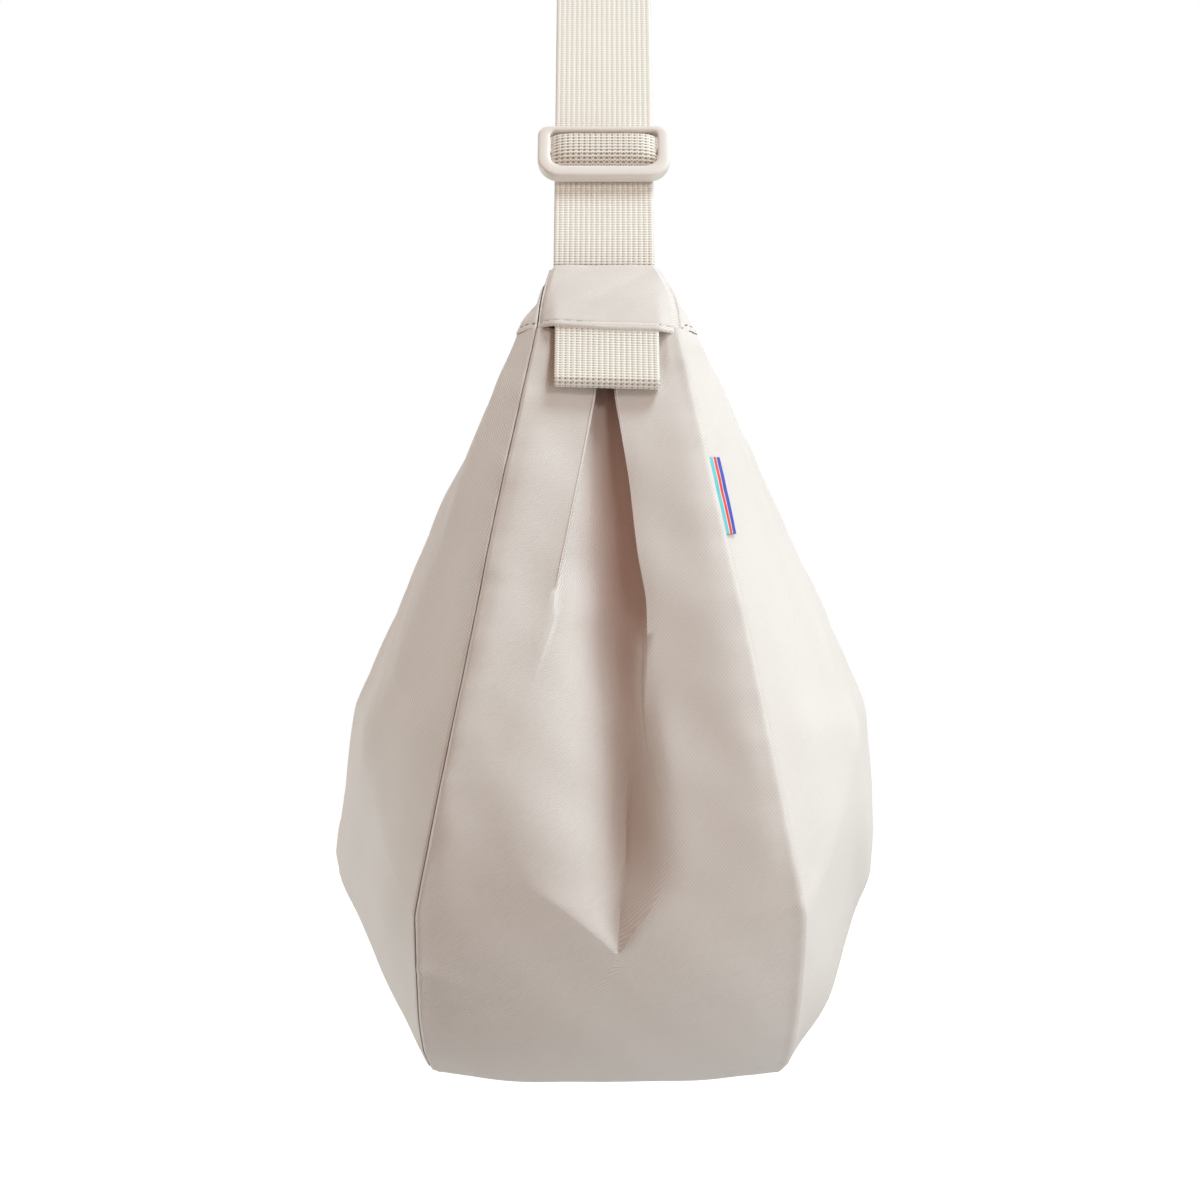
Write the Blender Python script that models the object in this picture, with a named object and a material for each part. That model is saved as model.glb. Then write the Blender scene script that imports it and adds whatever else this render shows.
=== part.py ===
"""Crossbody bag, hung by its webbing strap from the middle of the strap's crown.

Metres, +Z up, +X along the bag from its left end to its right end, and the front panel at -Y.
The origin is the middle of the crown's underside, where a shoulder or a hook holds the strap.
Depths are measured down from the level at which the strap leaves the two end caps.
"""

import math

import bpy
import numpy as np

# Gap kept between pieces that touch, sew or lie on each other
GAP = 0.0003

# Body of the bag
HALF_LENGTH = 0.235
HEIGHT = 0.322
BELLY_HALF = 0.118
BELLY_DEPTH = 0.2237
BASE_HALF = 0.068
BASE_FLAT = 0.040
CORNER_POWER = 2.5
WIDEST_DEPTH = 0.190
END_CURVE_POWER = 1.7
FULL_GUSSET_DEPTH = 0.235
END_BULGE = 0.17
BULGE_POWER = 0.9
MIDDLE_ROUND = 0.25
SHELL_THICKNESS = 0.0016
LINING_THICKNESS = 0.0008
LINING_GAP = 0.0007
PANEL_RIBS = 26
PANEL_ROWS = 11
ROW_POWER = 1.35
GUSSET_COLUMNS = 8

# Share of the way from one named level to the next, and share of the bulge reached there
UPPER_SECTION = ((0, 0), (0.04, 0.20), (0.25, 0.50), (0.75, 0.955), (1, 1))
LOWER_SECTION = ((0, 1), (0.15, 0.975), (0.35, 0.78), (0.70, 0.42), (0.88, 0.18), (1, 0))

# Inverted pleat in each end of the gusset
PLEAT_TOP_DEPTH = 0.034
PLEAT_POINT_DEPTH = 0.246
PLEAT_WIDEST_DEPTH = 0.185
PLEAT_HALF = 0.034
PLEAT_TOP_HALF = 0.004
PLEAT_RECESS = 0.010

# End caps, which close the ends of the bag round the strap
CAP_TOP_FROM_END = 0.0638
CAP_SEAM_FROM_END = 0.0450
CAP_TOP_X = HALF_LENGTH - CAP_TOP_FROM_END
CAP_SEAM_X = HALF_LENGTH - CAP_SEAM_FROM_END
CAP_SEAM_DEPTH = 0.025
CAP_SEAM_HALF = 0.026
CAP_TOP_HALF = 0.0204
CAP_SLOT = 0.0092
CAP_THICKNESS = 0.0010
CAP_BACK_CORNER = 0.0045
CAP_EDGE_BLEND = 0.10

# Shares of a cap's bottom edge that its side takes, and of its slot edge at which that edge turns
CAP_SIDE_SHARE = 0.80
CAP_SLOT_SHARES = (0.0, 0.4, 0.5, 1.0)

# Strap
WEBBING_WIDTH = 0.038
WEBBING_THICKNESS = 0.0014
STRAP_LEAN = math.radians(28)
STRAP_FROM_CAP_TOP = 0.0040
STRAP_EXIT_X = CAP_TOP_X - STRAP_FROM_CAP_TOP
CROWN_RADIUS = 0.047
STRAP_START = 0.012
STRAP_IN_CAP = 0.020
CROWN_STEPS = 14

# Tri-glide slider of the strap
SLIDER_WIDTH = 0.0504
SLIDER_LENGTH = 0.0229
SLIDER_DEPTH = 0.0034
SLIDER_LIMB = 0.0044
SLIDER_RAIL = 0.0038
SLIDER_CORNER = 0.0062
WINDOW_CORNER = 0.0015
SLIDER_BAR = 0.0030
SLIDER_BAR_DEPTH = 0.0020
SLIDER_BAR_STEP = 0.0002
SLIDER_FROM_EXIT = 0.0529
HUMP_POWER = 2.2
HUMP_STEPS = 11

# Ring at the other end of the strap, and the webbing loop that holds it
RING_WIDTH = 0.0480
RING_BAR_RADIUS = 0.0020
RING_PITCH = 0.0140
RING_FROM_EXIT = 0.0190
RING_SPREAD = 0.0300

# Webbing loop sewn into the seam of each cap
TAB_LENGTH = 0.0235
TAB_INNER_GAP = 0.0064

# Side tag in the front seam
TAG_TOP_DEPTH = 0.0740
TAG_LENGTH = 0.0290
TAG_REACH = 0.0100
TAG_FROM_SEAM = 0.0015
TAG_LIFT = 0.0005
TAG_THICKNESS = 0.0009

# Zip
ZIP_HALF = 0.0130
ZIP_DEPTH = 0.0300
ZIP_FROM_END = 0.0850
ZIP_END_X = HALF_LENGTH - ZIP_FROM_END
TAPE_THICKNESS = 0.0008
CHAIN_HALF_GAP = 0.00065
CHAIN_WIDTH = 0.0026
CHAIN_HEIGHT = 0.0010
CHAIN_FROM_RIGHT_END = 0.0060
CHAIN_FROM_LEFT_END = 0.0250
STOP_LENGTH = 0.0024
ZIP_SLIDER_LENGTH = 0.0100
ZIP_SLIDER_WALL = 0.0010
ZIP_SLIDER_PLAY = 0.0005
ZIP_POST_LENGTH = 0.0020
BAIL_LENGTH = 0.0070
BAIL_LIMB = 0.0012
BAIL_WIDTH = 0.0018
PULLER_PIN = 0.0011
PULLER_LENGTH = 0.0260
PULLER_WIDTH = 0.0068
PULLER_THICKNESS = 0.0011
PULLER_LIMB = 0.0012

# Pocket sewn on the back lining: how far it reaches along the seam, and its top and base
POCKET_REACH = 0.135
POCKET_TOP_DEPTH = 0.088
POCKET_BASE_DEPTH = 0.191
POCKET_THICKNESS = 0.0006

# Levels and places that follow from the sizes above
OUTER_CROWN = CROWN_RADIUS + 1.5 * WEBBING_THICKNESS + GAP
INNER_CROWN = CROWN_RADIUS + 0.5 * WEBBING_THICKNESS
CROWN_RISE = (STRAP_EXIT_X * math.cos(STRAP_LEAN) - OUTER_CROWN) / math.sin(STRAP_LEAN)
EXIT_Z = -CROWN_RADIUS - CROWN_RISE
PIVOT_Z = EXIT_Z + STRAP_START / 3
LAYER_STEP = WEBBING_THICKNESS + GAP
RUN_LENGTH = math.hypot(
    STRAP_EXIT_X - OUTER_CROWN * math.cos(STRAP_LEAN),
    CROWN_RISE + OUTER_CROWN * math.sin(STRAP_LEAN),
)

# Faces of a box whose corners are numbered by x, then y, then z
BOX_FACES = ((0, 1, 3, 2), (4, 6, 7, 5), (0, 4, 5, 1), (2, 3, 7, 6), (0, 2, 6, 4), (1, 5, 7, 3))


def level(depth):
    """World height of a depth below the strap's exits."""
    return EXIT_Z - depth


def clear_scene():
    for old in list(bpy.data.objects):
        bpy.data.objects.remove(old, do_unlink=True)


def finish(name, color, roughness, metallic=0.0):
    material = bpy.data.materials.new(name)
    material.use_nodes = True
    shader = material.node_tree.nodes["Principled BSDF"]
    shader.inputs["Base Color"].default_value = (*color, 1.0)
    shader.inputs["Roughness"].default_value = roughness
    shader.inputs["Metallic"].default_value = metallic
    return material


def signed_volume(points, faces):
    total = 0.0
    for face in faces:
        for i in range(1, len(face) - 1):
            a, b, c = points[face[0]], points[face[i]], points[face[i + 1]]
            total += float(np.dot(a, np.cross(b, c)))
    return total


def turned(face):
    """The same face seen from its other side, still divided along the same diagonal."""
    return (face[0], *reversed(face[1:]))


def add_solid(name, points, faces, material, pivot=(0, 0, 0), smooth=False):
    """A closed mesh given in world places, whose origin is put at the pivot."""
    points = np.asarray(points, float)
    centred = points - points.mean(axis=0)
    if signed_volume(centred, faces) < 0:
        faces = [turned(face) for face in faces]
    mesh = bpy.data.meshes.new(name)
    mesh.from_pydata([tuple(p) for p in points - np.asarray(pivot, float)], [], faces)
    mesh.materials.append(material)
    if smooth:
        mesh.shade_smooth()
        mesh.set_sharp_from_angle(angle=math.radians(40))
    solid = bpy.data.objects.new(name, mesh)
    solid.location = pivot
    bpy.context.scene.collection.objects.link(solid)
    return solid


def slab(outer, inner):
    """Points and faces of the closed solid between two grids of the same size."""
    rows, columns = outer.shape[:2]
    count = rows * columns
    points = np.concatenate([outer.reshape(-1, 3), inner.reshape(-1, 3)])
    faces = []
    for i in range(rows - 1):
        for j in range(columns - 1):
            a = i * columns + j
            quad = (a, a + 1, a + columns + 1, a + columns)
            faces.append(quad)
            faces.append(tuple(count + k for k in turned(quad)))
    edge = [(i, 0) for i in range(rows)]
    edge += [(rows - 1, j) for j in range(1, columns)]
    edge += [(i, columns - 1) for i in range(rows - 2, -1, -1)]
    edge += [(0, j) for j in range(columns - 2, 0, -1)]
    ring = [i * columns + j for i, j in edge]
    for a, b in zip(ring, ring[1:] + ring[:1]):
        faces.append((a, b, b + count, a + count))
    return points, faces


def add_ribbon(name, path, width, thickness, material, pivot=(0, 0, 0)):
    """Webbing of one width across Y, along a middle line of (x, z) points."""
    path = np.asarray(path, float)
    steps = np.diff(path, axis=0)
    steps /= np.linalg.norm(steps, axis=1)[:, None]
    normals = np.column_stack([-steps[:, 1], steps[:, 0]])
    joined = np.vstack([normals[:1], normals[:-1] + normals[1:], normals[-1:]])
    lengths = np.linalg.norm(joined, axis=1)
    joined /= lengths[:, None]
    miter = np.ones(len(path))
    miter[1:-1] = 2 / lengths[1:-1]
    shift = joined * (miter * thickness / 2)[:, None]
    sides = []
    for face in (path + shift, path - shift):
        grid = np.zeros((len(path), 2, 3))
        grid[:, :, 0] = face[:, :1]
        grid[:, :, 2] = face[:, 1:]
        grid[:, 0, 1] = -width / 2
        grid[:, 1, 1] = width / 2
        sides.append(grid)
    points, faces = slab(*sides)
    return add_solid(name, points, faces, material, pivot)


def box_mesh(name, low, high, pivot):
    corners = [(x, y, z) for x in (low[0], high[0]) for y in (low[1], high[1]) for z in (low[2], high[2])]
    mesh = bpy.data.meshes.new(name)
    mesh.from_pydata([tuple(np.subtract(c, pivot)) for c in corners], [], BOX_FACES)
    solid = bpy.data.objects.new(name, mesh)
    solid.location = pivot
    bpy.context.scene.collection.objects.link(solid)
    return solid


def add_fused(name, boxes, material, pivot=(0, 0, 0)):
    """One solid from overlapping boxes, each a (low, high) pair of world corners."""
    solid = box_mesh(name, *boxes[0], pivot)
    solid.data.materials.append(material)
    for number, (low, high) in enumerate(boxes[1:]):
        helper = box_mesh(f"{name}_helper_{number}", low, high, pivot)
        helper.hide_render = True
        helper.display_type = "WIRE"
        union = solid.modifiers.new(f"union_{number}", "BOOLEAN")
        union.operation = "UNION"
        union.object = helper
    return solid


def smooth_steps(table, at):
    """Monotone smooth curve through a short table of (place, value) pairs."""
    pairs = np.array(table, float)
    widths = np.diff(pairs[:, 0])
    slopes = np.diff(pairs[:, 1]) / widths
    tangents = np.concatenate([slopes[:1], np.zeros(len(pairs) - 2), slopes[-1:]])
    for i in range(1, len(pairs) - 1):
        before, after = slopes[i - 1], slopes[i]
        if before * after > 0:
            tangents[i] = 2 * before * after / (before + after)
    at = np.asarray(at, float)
    i = np.clip(np.searchsorted(pairs[:, 0], at, side="right") - 1, 0, len(widths) - 1)
    s = (at - pairs[i, 0]) / widths[i]
    start = (1 + 2 * s) * (1 - s) ** 2 * pairs[i, 1] + s * (1 - s) ** 2 * widths[i] * tangents[i]
    end = s * s * (3 - 2 * s) * pairs[i + 1, 1] + s * s * (s - 1) * widths[i] * tangents[i + 1]
    return start + end


def half_outline():
    """Side view of the gusset from the middle of the base to the left cap: x, depth and length."""
    turn = np.linspace(0, math.pi / 2, 240)
    low_x = BASE_FLAT + (HALF_LENGTH - BASE_FLAT) * np.sin(turn) ** (2 / CORNER_POWER)
    low_depth = WIDEST_DEPTH + (HEIGHT - WIDEST_DEPTH) * np.cos(turn) ** (2 / CORNER_POWER)
    high_depth = np.linspace(WIDEST_DEPTH, CAP_SEAM_DEPTH, 160)[1:]
    share = (WIDEST_DEPTH - high_depth) / (WIDEST_DEPTH - CAP_SEAM_DEPTH)
    high_x = HALF_LENGTH - (HALF_LENGTH - CAP_SEAM_X) * share**END_CURVE_POWER
    x = np.concatenate([[0], low_x, high_x])
    depth = np.concatenate([[HEIGHT], low_depth, high_depth])
    run = np.concatenate([[0], np.cumsum(np.hypot(np.diff(x), np.diff(depth)))])
    return x, depth, run


OUTLINE_X, OUTLINE_DEPTH, OUTLINE_RUN = half_outline()


def seam(u):
    """Side view place (x, depth) on the gusset's line: u is -1 at the left cap and 1 at the right."""
    run = np.abs(u) * OUTLINE_RUN[-1]
    x = np.sign(u) * np.interp(run, OUTLINE_RUN, OUTLINE_X)
    return x, np.interp(run, OUTLINE_RUN, OUTLINE_DEPTH)


def seam_inward(u):
    """Unit (x, z) direction from the gusset's line into the bag."""
    step = 0.004
    x0, d0 = seam(np.clip(u - step, -1, 1))
    x1, d1 = seam(np.clip(u + step, -1, 1))
    along = np.stack([x1 - x0, d0 - d1], axis=-1)
    along /= np.linalg.norm(along, axis=-1, keepdims=True)
    return -along[..., 1], along[..., 0]


def gusset_half(depth):
    share = (depth - CAP_SEAM_DEPTH) / (FULL_GUSSET_DEPTH - CAP_SEAM_DEPTH)
    return CAP_SEAM_HALF + (BASE_HALF - CAP_SEAM_HALF) * np.clip(share, 0, 1)


def middle_bulge(v):
    """How far the middle section stands out from the straight line between seam and zip."""
    depth = HEIGHT + (ZIP_DEPTH - HEIGHT) * v
    upper = smooth_steps(UPPER_SECTION, np.clip((depth - ZIP_DEPTH) / (BELLY_DEPTH - ZIP_DEPTH), 0, 1))
    lower = smooth_steps(LOWER_SECTION, np.clip((depth - BELLY_DEPTH) / (HEIGHT - BELLY_DEPTH), 0, 1))
    above = ZIP_HALF + (BELLY_HALF - ZIP_HALF) * upper
    below = BASE_HALF + (BELLY_HALF - BASE_HALF) * lower
    return np.where(depth < BELLY_DEPTH, above, below) - (BASE_HALF + (ZIP_HALF - BASE_HALF) * v)


def end_share(u):
    """How far along the bag a rib stands, 0 in the middle and 1 at a cap, with the middle rounded."""
    rounded = np.sqrt(u * u + MIDDLE_ROUND**2) - MIDDLE_ROUND
    return rounded / (math.hypot(1, MIDDLE_ROUND) - MIDDLE_ROUND)


def panel_point(u, v, side):
    """World place on a side panel: v is 0 at the gusset's seam and 1 at the zip."""
    u, v = np.broadcast_arrays(np.asarray(u, float), np.asarray(v, float))
    x, depth = seam(u)
    half = gusset_half(depth)
    share = END_BULGE + (1 - END_BULGE) * (1 - end_share(u) ** BULGE_POWER)
    y = half + (ZIP_HALF - half) * v + middle_bulge(v) * share + GAP / 2
    x = x + (ZIP_END_X * u - x) * v
    depth = depth + (ZIP_DEPTH - depth) * v
    return np.stack([x, side * y, EXIT_Z - depth], axis=-1)


def ease(value, width):
    share = np.clip(value / width, 0, 1)
    return 1 - share * share * (3 - 2 * share)


def panel_inward(u, v, side):
    """Unit direction from a panel's face to its lining, kept flat against each seam at the edges."""
    u, v = np.broadcast_arrays(np.asarray(u, float), np.asarray(v, float))
    step = 0.01
    across = panel_point(np.clip(u + step, -1, 1), v, side) - panel_point(np.clip(u - step, -1, 1), v, side)
    up = panel_point(u, np.clip(v + step, 0, 1), side) - panel_point(u, np.clip(v - step, 0, 1), side)
    normal = np.cross(across, up)
    normal /= np.linalg.norm(normal, axis=-1, keepdims=True)
    inside = np.array([0.0, -side, -0.7])
    normal *= np.where((normal * inside).sum(axis=-1, keepdims=True) < 0, -1, 1)
    flat_x, flat_z = seam_inward(u)
    at_seam = np.stack([flat_x, np.zeros_like(flat_x), flat_z], axis=-1)
    at_zip = np.broadcast_to([0.0, 0.0, -1.0], normal.shape)
    at_cap = np.broadcast_to([0.0, -side * math.sqrt(0.5), -math.sqrt(0.5)], normal.shape)
    for edge, nearness in (
        (at_cap, ease(1 - np.abs(u), 0.04)),
        (at_zip, ease(1 - v, 0.12)),
        (at_seam, ease(v, 0.10)),
    ):
        normal = normal + (edge - normal) * nearness[..., None]
        normal = normal / np.linalg.norm(normal, axis=-1, keepdims=True)
    return normal


def pleat_depth(u, across):
    """Depth of the inverted pleat at a place on the gusset, across in metres from its middle."""
    depth = seam(u)[1]
    above = np.clip((depth - PLEAT_TOP_DEPTH) / (PLEAT_WIDEST_DEPTH - PLEAT_TOP_DEPTH), 0, 1)
    below = np.clip((PLEAT_POINT_DEPTH - depth) / (PLEAT_POINT_DEPTH - PLEAT_WIDEST_DEPTH), 0, 1)
    upper_half = PLEAT_TOP_HALF + (PLEAT_HALF - PLEAT_TOP_HALF) * above
    half = np.where(depth < PLEAT_WIDEST_DEPTH, upper_half, PLEAT_TOP_HALF + (PLEAT_HALF - PLEAT_TOP_HALF) * below)
    fall = np.clip(1 - np.abs(across) / half, 0, 1)
    inside = (depth > PLEAT_TOP_DEPTH) & (depth < PLEAT_POINT_DEPTH)
    length_share = np.clip(np.minimum(above * 4, below * 2), 0, 1)
    return np.where(inside, PLEAT_RECESS * fall * length_share, 0.0)


def gusset_point(u, a, depth_in):
    """World place on the gusset: a is -1 at the front seam and 1 at the back one."""
    u, a = np.broadcast_arrays(np.asarray(u, float), np.asarray(a, float))
    x, depth = seam(u)
    half = gusset_half(depth) - GAP / 2
    inward_x, inward_z = seam_inward(u)
    sunk = depth_in + pleat_depth(u, a * half)
    return np.stack([x + inward_x * sunk, a * half, EXIT_Z - depth + inward_z * sunk], axis=-1)


def rib_places():
    """Shares of the gusset's line at which the panels and the gusset are divided."""
    return np.linspace(-1, 1, PANEL_RIBS + 1)


def add_panel(name, side, start, end, material, ribs, rows):
    u, v = np.meshgrid(ribs, rows, indexing="ij")
    place = panel_point(u, v, side)
    inward = panel_inward(u, v, side)
    points, faces = slab(place + inward * start, place + inward * end)
    return add_solid(name, points, faces, material, (0, 0, PIVOT_Z), smooth=True)


def add_gusset(name, start, end, material, columns):
    ribs = rib_places()
    flat = BASE_FLAT / OUTLINE_RUN[-1]
    ribs = np.unique(np.concatenate([ribs, [-flat, flat]]))
    u, a = np.meshgrid(ribs, np.linspace(-1, 1, columns + 1), indexing="ij")
    points, faces = slab(gusset_point(u, a, start), gusset_point(u, a, end))
    return add_solid(name, points, faces, material, (0, 0, PIVOT_Z), smooth=True)


def panel_rows():
    """Rows closer together at the zip, where the panel turns over most."""
    return 1 - np.linspace(1, 0, PANEL_ROWS + 1) ** ROW_POWER


def panel_ribs():
    flat = BASE_FLAT / OUTLINE_RUN[-1]
    return np.unique(np.concatenate([rib_places(), [-flat, flat]]))


def add_body_fabric(shell, lining):
    lining_start = SHELL_THICKNESS + LINING_GAP
    lining_end = lining_start + LINING_THICKNESS
    ribs = panel_ribs()
    rows = panel_rows()
    for name, side in (("front", -1), ("back", 1)):
        add_panel(f"{name}_panel", side, 0.0, SHELL_THICKNESS, shell, ribs, rows)
        add_panel(f"{name}_lining", side, lining_start, lining_end, lining, ribs, rows)
    add_gusset("gusset_panel", 0.0, SHELL_THICKNESS, shell, GUSSET_COLUMNS)
    add_gusset("gusset_lining", lining_start, lining_end, lining, GUSSET_COLUMNS)
    pocket_start = lining_end + GAP
    row_depths = HEIGHT + (ZIP_DEPTH - HEIGHT) * rows
    add_panel(
        "inner_pocket",
        1,
        pocket_start,
        pocket_start + POCKET_THICKNESS,
        lining,
        ribs[np.abs(ribs) * OUTLINE_RUN[-1] <= POCKET_REACH],
        rows[(row_depths >= POCKET_TOP_DEPTH) & (row_depths <= POCKET_BASE_DEPTH)],
    )


def add_side_tag(ribbon):
    """Folded ribbon sewn in the front seam near the left cap, lying back on the front panel."""
    left = OUTLINE_RUN[-1] - OUTLINE_RUN
    order = np.argsort(OUTLINE_DEPTH)
    top = np.interp(TAG_TOP_DEPTH, OUTLINE_DEPTH[order], left[order])
    ends = -(OUTLINE_RUN[-1] - np.array([top, top + TAG_LENGTH])) / OUTLINE_RUN[-1]
    u, v = np.meshgrid(np.linspace(*ends, 5), np.linspace(0, 1, 4), indexing="ij")
    rib_length = np.linalg.norm(panel_point(u, 0.25, -1) - panel_point(u, 0.0, -1), axis=-1) * 4
    v = (TAG_FROM_SEAM + v * TAG_REACH) / rib_length
    place = panel_point(u, v, -1)
    step = 0.01
    across = panel_point(u + step, v, -1) - panel_point(u - step, v, -1)
    up = panel_point(u, v + step, -1) - panel_point(u, v, -1)
    outward = np.cross(across, up)
    outward /= np.linalg.norm(outward, axis=-1, keepdims=True)
    outward *= np.where(outward[..., 1:2] > 0, -1, 1)
    start = TAG_LIFT
    points, faces = slab(place + outward * start, place + outward * (start + TAG_THICKNESS))
    add_solid("side_tag", points, faces, ribbon, (0, 0, PIVOT_Z))


def cap_bottom_edge(c, end, side):
    """Edge along which a cap's side meets the panel and, at its back, the end of the zip tape."""
    v = np.clip(c / CAP_SIDE_SHARE, 0, 1)
    edge = panel_point(np.full_like(c, float(end)), v, side)
    inner = np.clip((c - CAP_SIDE_SHARE) / (1 - CAP_SIDE_SHARE), 0, 1)
    edge[..., 1] += (side * GAP / 2 - edge[..., 1]) * inner
    edge[..., 2] += GAP
    return edge


def cap_top_edge(c, end, side):
    """Slot edge round the strap, from the cap's face to the middle of its back."""
    back = CAP_TOP_X - CAP_SLOT
    turn = CAP_BACK_CORNER / 3
    half = CAP_TOP_HALF + GAP / 2
    x = np.interp(c, CAP_SLOT_SHARES, (CAP_TOP_X, back + turn, back, back))
    y = np.interp(c, CAP_SLOT_SHARES, (half, half, half - turn, GAP / 2))
    return np.stack([end * x, side * y, np.full_like(c, EXIT_Z)], axis=-1)


def add_cap_side(name, end, side, shell):
    c, b = np.meshgrid(np.linspace(0, 1, 11), np.linspace(0, 1, 4), indexing="ij")
    place = cap_bottom_edge(c, end, side) * (1 - b[..., None]) + cap_top_edge(c, end, side) * b[..., None]
    inward_x = np.gradient(place[..., 1], axis=0)
    inward_y = -np.gradient(place[..., 0], axis=0)
    middle_x = end * (CAP_TOP_X - CAP_SLOT / 2)
    away = inward_x * (place[..., 0] - middle_x) + inward_y * place[..., 1] > 0
    inward_x = np.where(away, -inward_x, inward_x)
    inward_y = np.where(away, -inward_y, inward_y)
    for nearness, edge_x in ((ease(c, CAP_EDGE_BLEND), -end), (ease(1 - c, CAP_EDGE_BLEND), end)):
        size = np.hypot(inward_x, inward_y)
        inward_x = inward_x / size * (1 - nearness) + edge_x * nearness
        inward_y = inward_y / size * (1 - nearness)
    size = np.hypot(inward_x, inward_y)
    inward = np.stack([inward_x / size, inward_y / size, np.zeros_like(size)], axis=-1)
    points, faces = slab(place, place + inward * CAP_THICKNESS)
    return add_solid(name, points, faces, shell, (0, 0, PIVOT_Z), smooth=True)


def add_cap_face(name, end, shell):
    a, b = np.meshgrid(np.linspace(-1, 1, 5), np.linspace(0, 1, 4), indexing="ij")
    half = CAP_SEAM_HALF + (CAP_TOP_HALF - CAP_SEAM_HALF) * b - GAP / 2
    x = CAP_SEAM_X + (CAP_TOP_X - CAP_SEAM_X) * b
    z = level(CAP_SEAM_DEPTH) + GAP + (CAP_SEAM_DEPTH - GAP) * b
    place = np.stack([end * x, a * half, z], axis=-1)
    inward = np.array([-end * CAP_THICKNESS, 0.0, 0.0])
    points, faces = slab(place, place + inward)
    return add_solid(name, points, faces, shell, (0, 0, PIVOT_Z))


def add_end_tab(name, end, webbing):
    """Loop of folded webbing that hangs from the cap's seam against the gusset."""
    step = OUTLINE_RUN[-1] - TAB_LENGTH
    foot_x = np.interp(step, OUTLINE_RUN, OUTLINE_X)
    foot_depth = np.interp(step, OUTLINE_RUN, OUTLINE_DEPTH)
    down = np.array([foot_x - CAP_SEAM_X, CAP_SEAM_DEPTH - foot_depth])
    down /= np.linalg.norm(down)
    out = np.array([-down[1], down[0]])
    root = np.array([CAP_SEAM_X, level(CAP_SEAM_DEPTH)]) + out * (WEBBING_THICKNESS + 2.5 * GAP) + down * 2 * GAP
    pivot = (end * root[0], 0.0, root[1])
    fold = (TAB_INNER_GAP + WEBBING_THICKNESS) / 2
    straight = TAB_LENGTH - fold - WEBBING_THICKNESS / 2
    inner = -(WEBBING_THICKNESS + GAP) / 2
    places = [(s * straight, inner) for s in (0, 0.5, 1)]
    for turn in np.linspace(0, math.pi, 9)[1:]:
        places.append((straight + fold * math.sin(turn), inner + fold * (1 - math.cos(turn))))
    outer = -inner
    for s in (0.75, 0.5, 0.25, 0.0):
        belly = inner + 2 * fold - outer
        places.append((s * straight, outer + belly * s * s * (3 - 2 * s)))
    line = [root + down * s + out * n for s, n in places]
    path = [(end * x, z) for x, z in line]
    add_ribbon(name, path, WEBBING_WIDTH, WEBBING_THICKNESS, webbing, pivot)


def run_place(end, s, n):
    """World (x, z) of a place along one run of the strap, n outwards from its outer layer's middle."""
    x = STRAP_EXIT_X - s * math.sin(STRAP_LEAN) + n * math.cos(STRAP_LEAN)
    z = EXIT_Z + s * math.cos(STRAP_LEAN) + n * math.sin(STRAP_LEAN)
    return end * x, z


def crown_arc(radius, first, last):
    """Places on the crown between two tangent points: -1 is the left one and 1 the right one."""
    reach = math.pi / 2 - STRAP_LEAN
    turns = np.linspace(first * reach, last * reach, CROWN_STEPS + 1)
    return [(radius * math.sin(turn), -CROWN_RADIUS + radius * math.cos(turn)) for turn in turns]


def add_strap(webbing):
    """One length of webbing: up from the slider's end, over the crown, round the ring and back."""
    bar_turn = RING_BAR_RADIUS + GAP + WEBBING_THICKNESS / 2
    bar_s = RING_FROM_EXIT + RING_PITCH
    path = [run_place(-1, STRAP_START / math.cos(STRAP_LEAN), 0.0)]
    path += crown_arc(OUTER_CROWN, -1, 1)
    for turn in np.linspace(0, math.pi, 9):
        around = (bar_s - bar_turn * math.sin(turn), -bar_turn + bar_turn * math.cos(turn))
        path.append(run_place(1, *around))
    for share in (0.25, 0.5, 0.75, 1.0):
        eased = share * share * (3 - 2 * share)
        inner = -2 * bar_turn + (2 * bar_turn - LAYER_STEP) * eased
        path.append(run_place(1, bar_s + RING_SPREAD * share, inner))
    path += crown_arc(INNER_CROWN, 1, -1)
    add_ribbon("strap_webbing", path, WEBBING_WIDTH, WEBBING_THICKNESS, webbing)

    slider_s = SLIDER_FROM_EXIT
    run = [run_place(-1, slider_s - SLIDER_BAR / 2, -LAYER_STEP), run_place(-1, RUN_LENGTH - GAP, -LAYER_STEP)]
    add_ribbon("strap_return_run", run, WEBBING_WIDTH, WEBBING_THICKNESS, webbing)


def add_strap_end(webbing):
    """Webbing that leaves the left cap, where the bag swings under the strap."""
    top = STRAP_START / math.cos(STRAP_LEAN) - GAP
    path = [(-STRAP_EXIT_X, level(STRAP_IN_CAP)), (-STRAP_EXIT_X, level(STRAP_START / 4))]
    path += [run_place(-1, top * share, 0.0) for share in (0.2, 1.0)]
    add_ribbon("strap_left_end", path, WEBBING_WIDTH, WEBBING_THICKNESS, webbing, (0, 0, PIVOT_Z))


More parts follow.
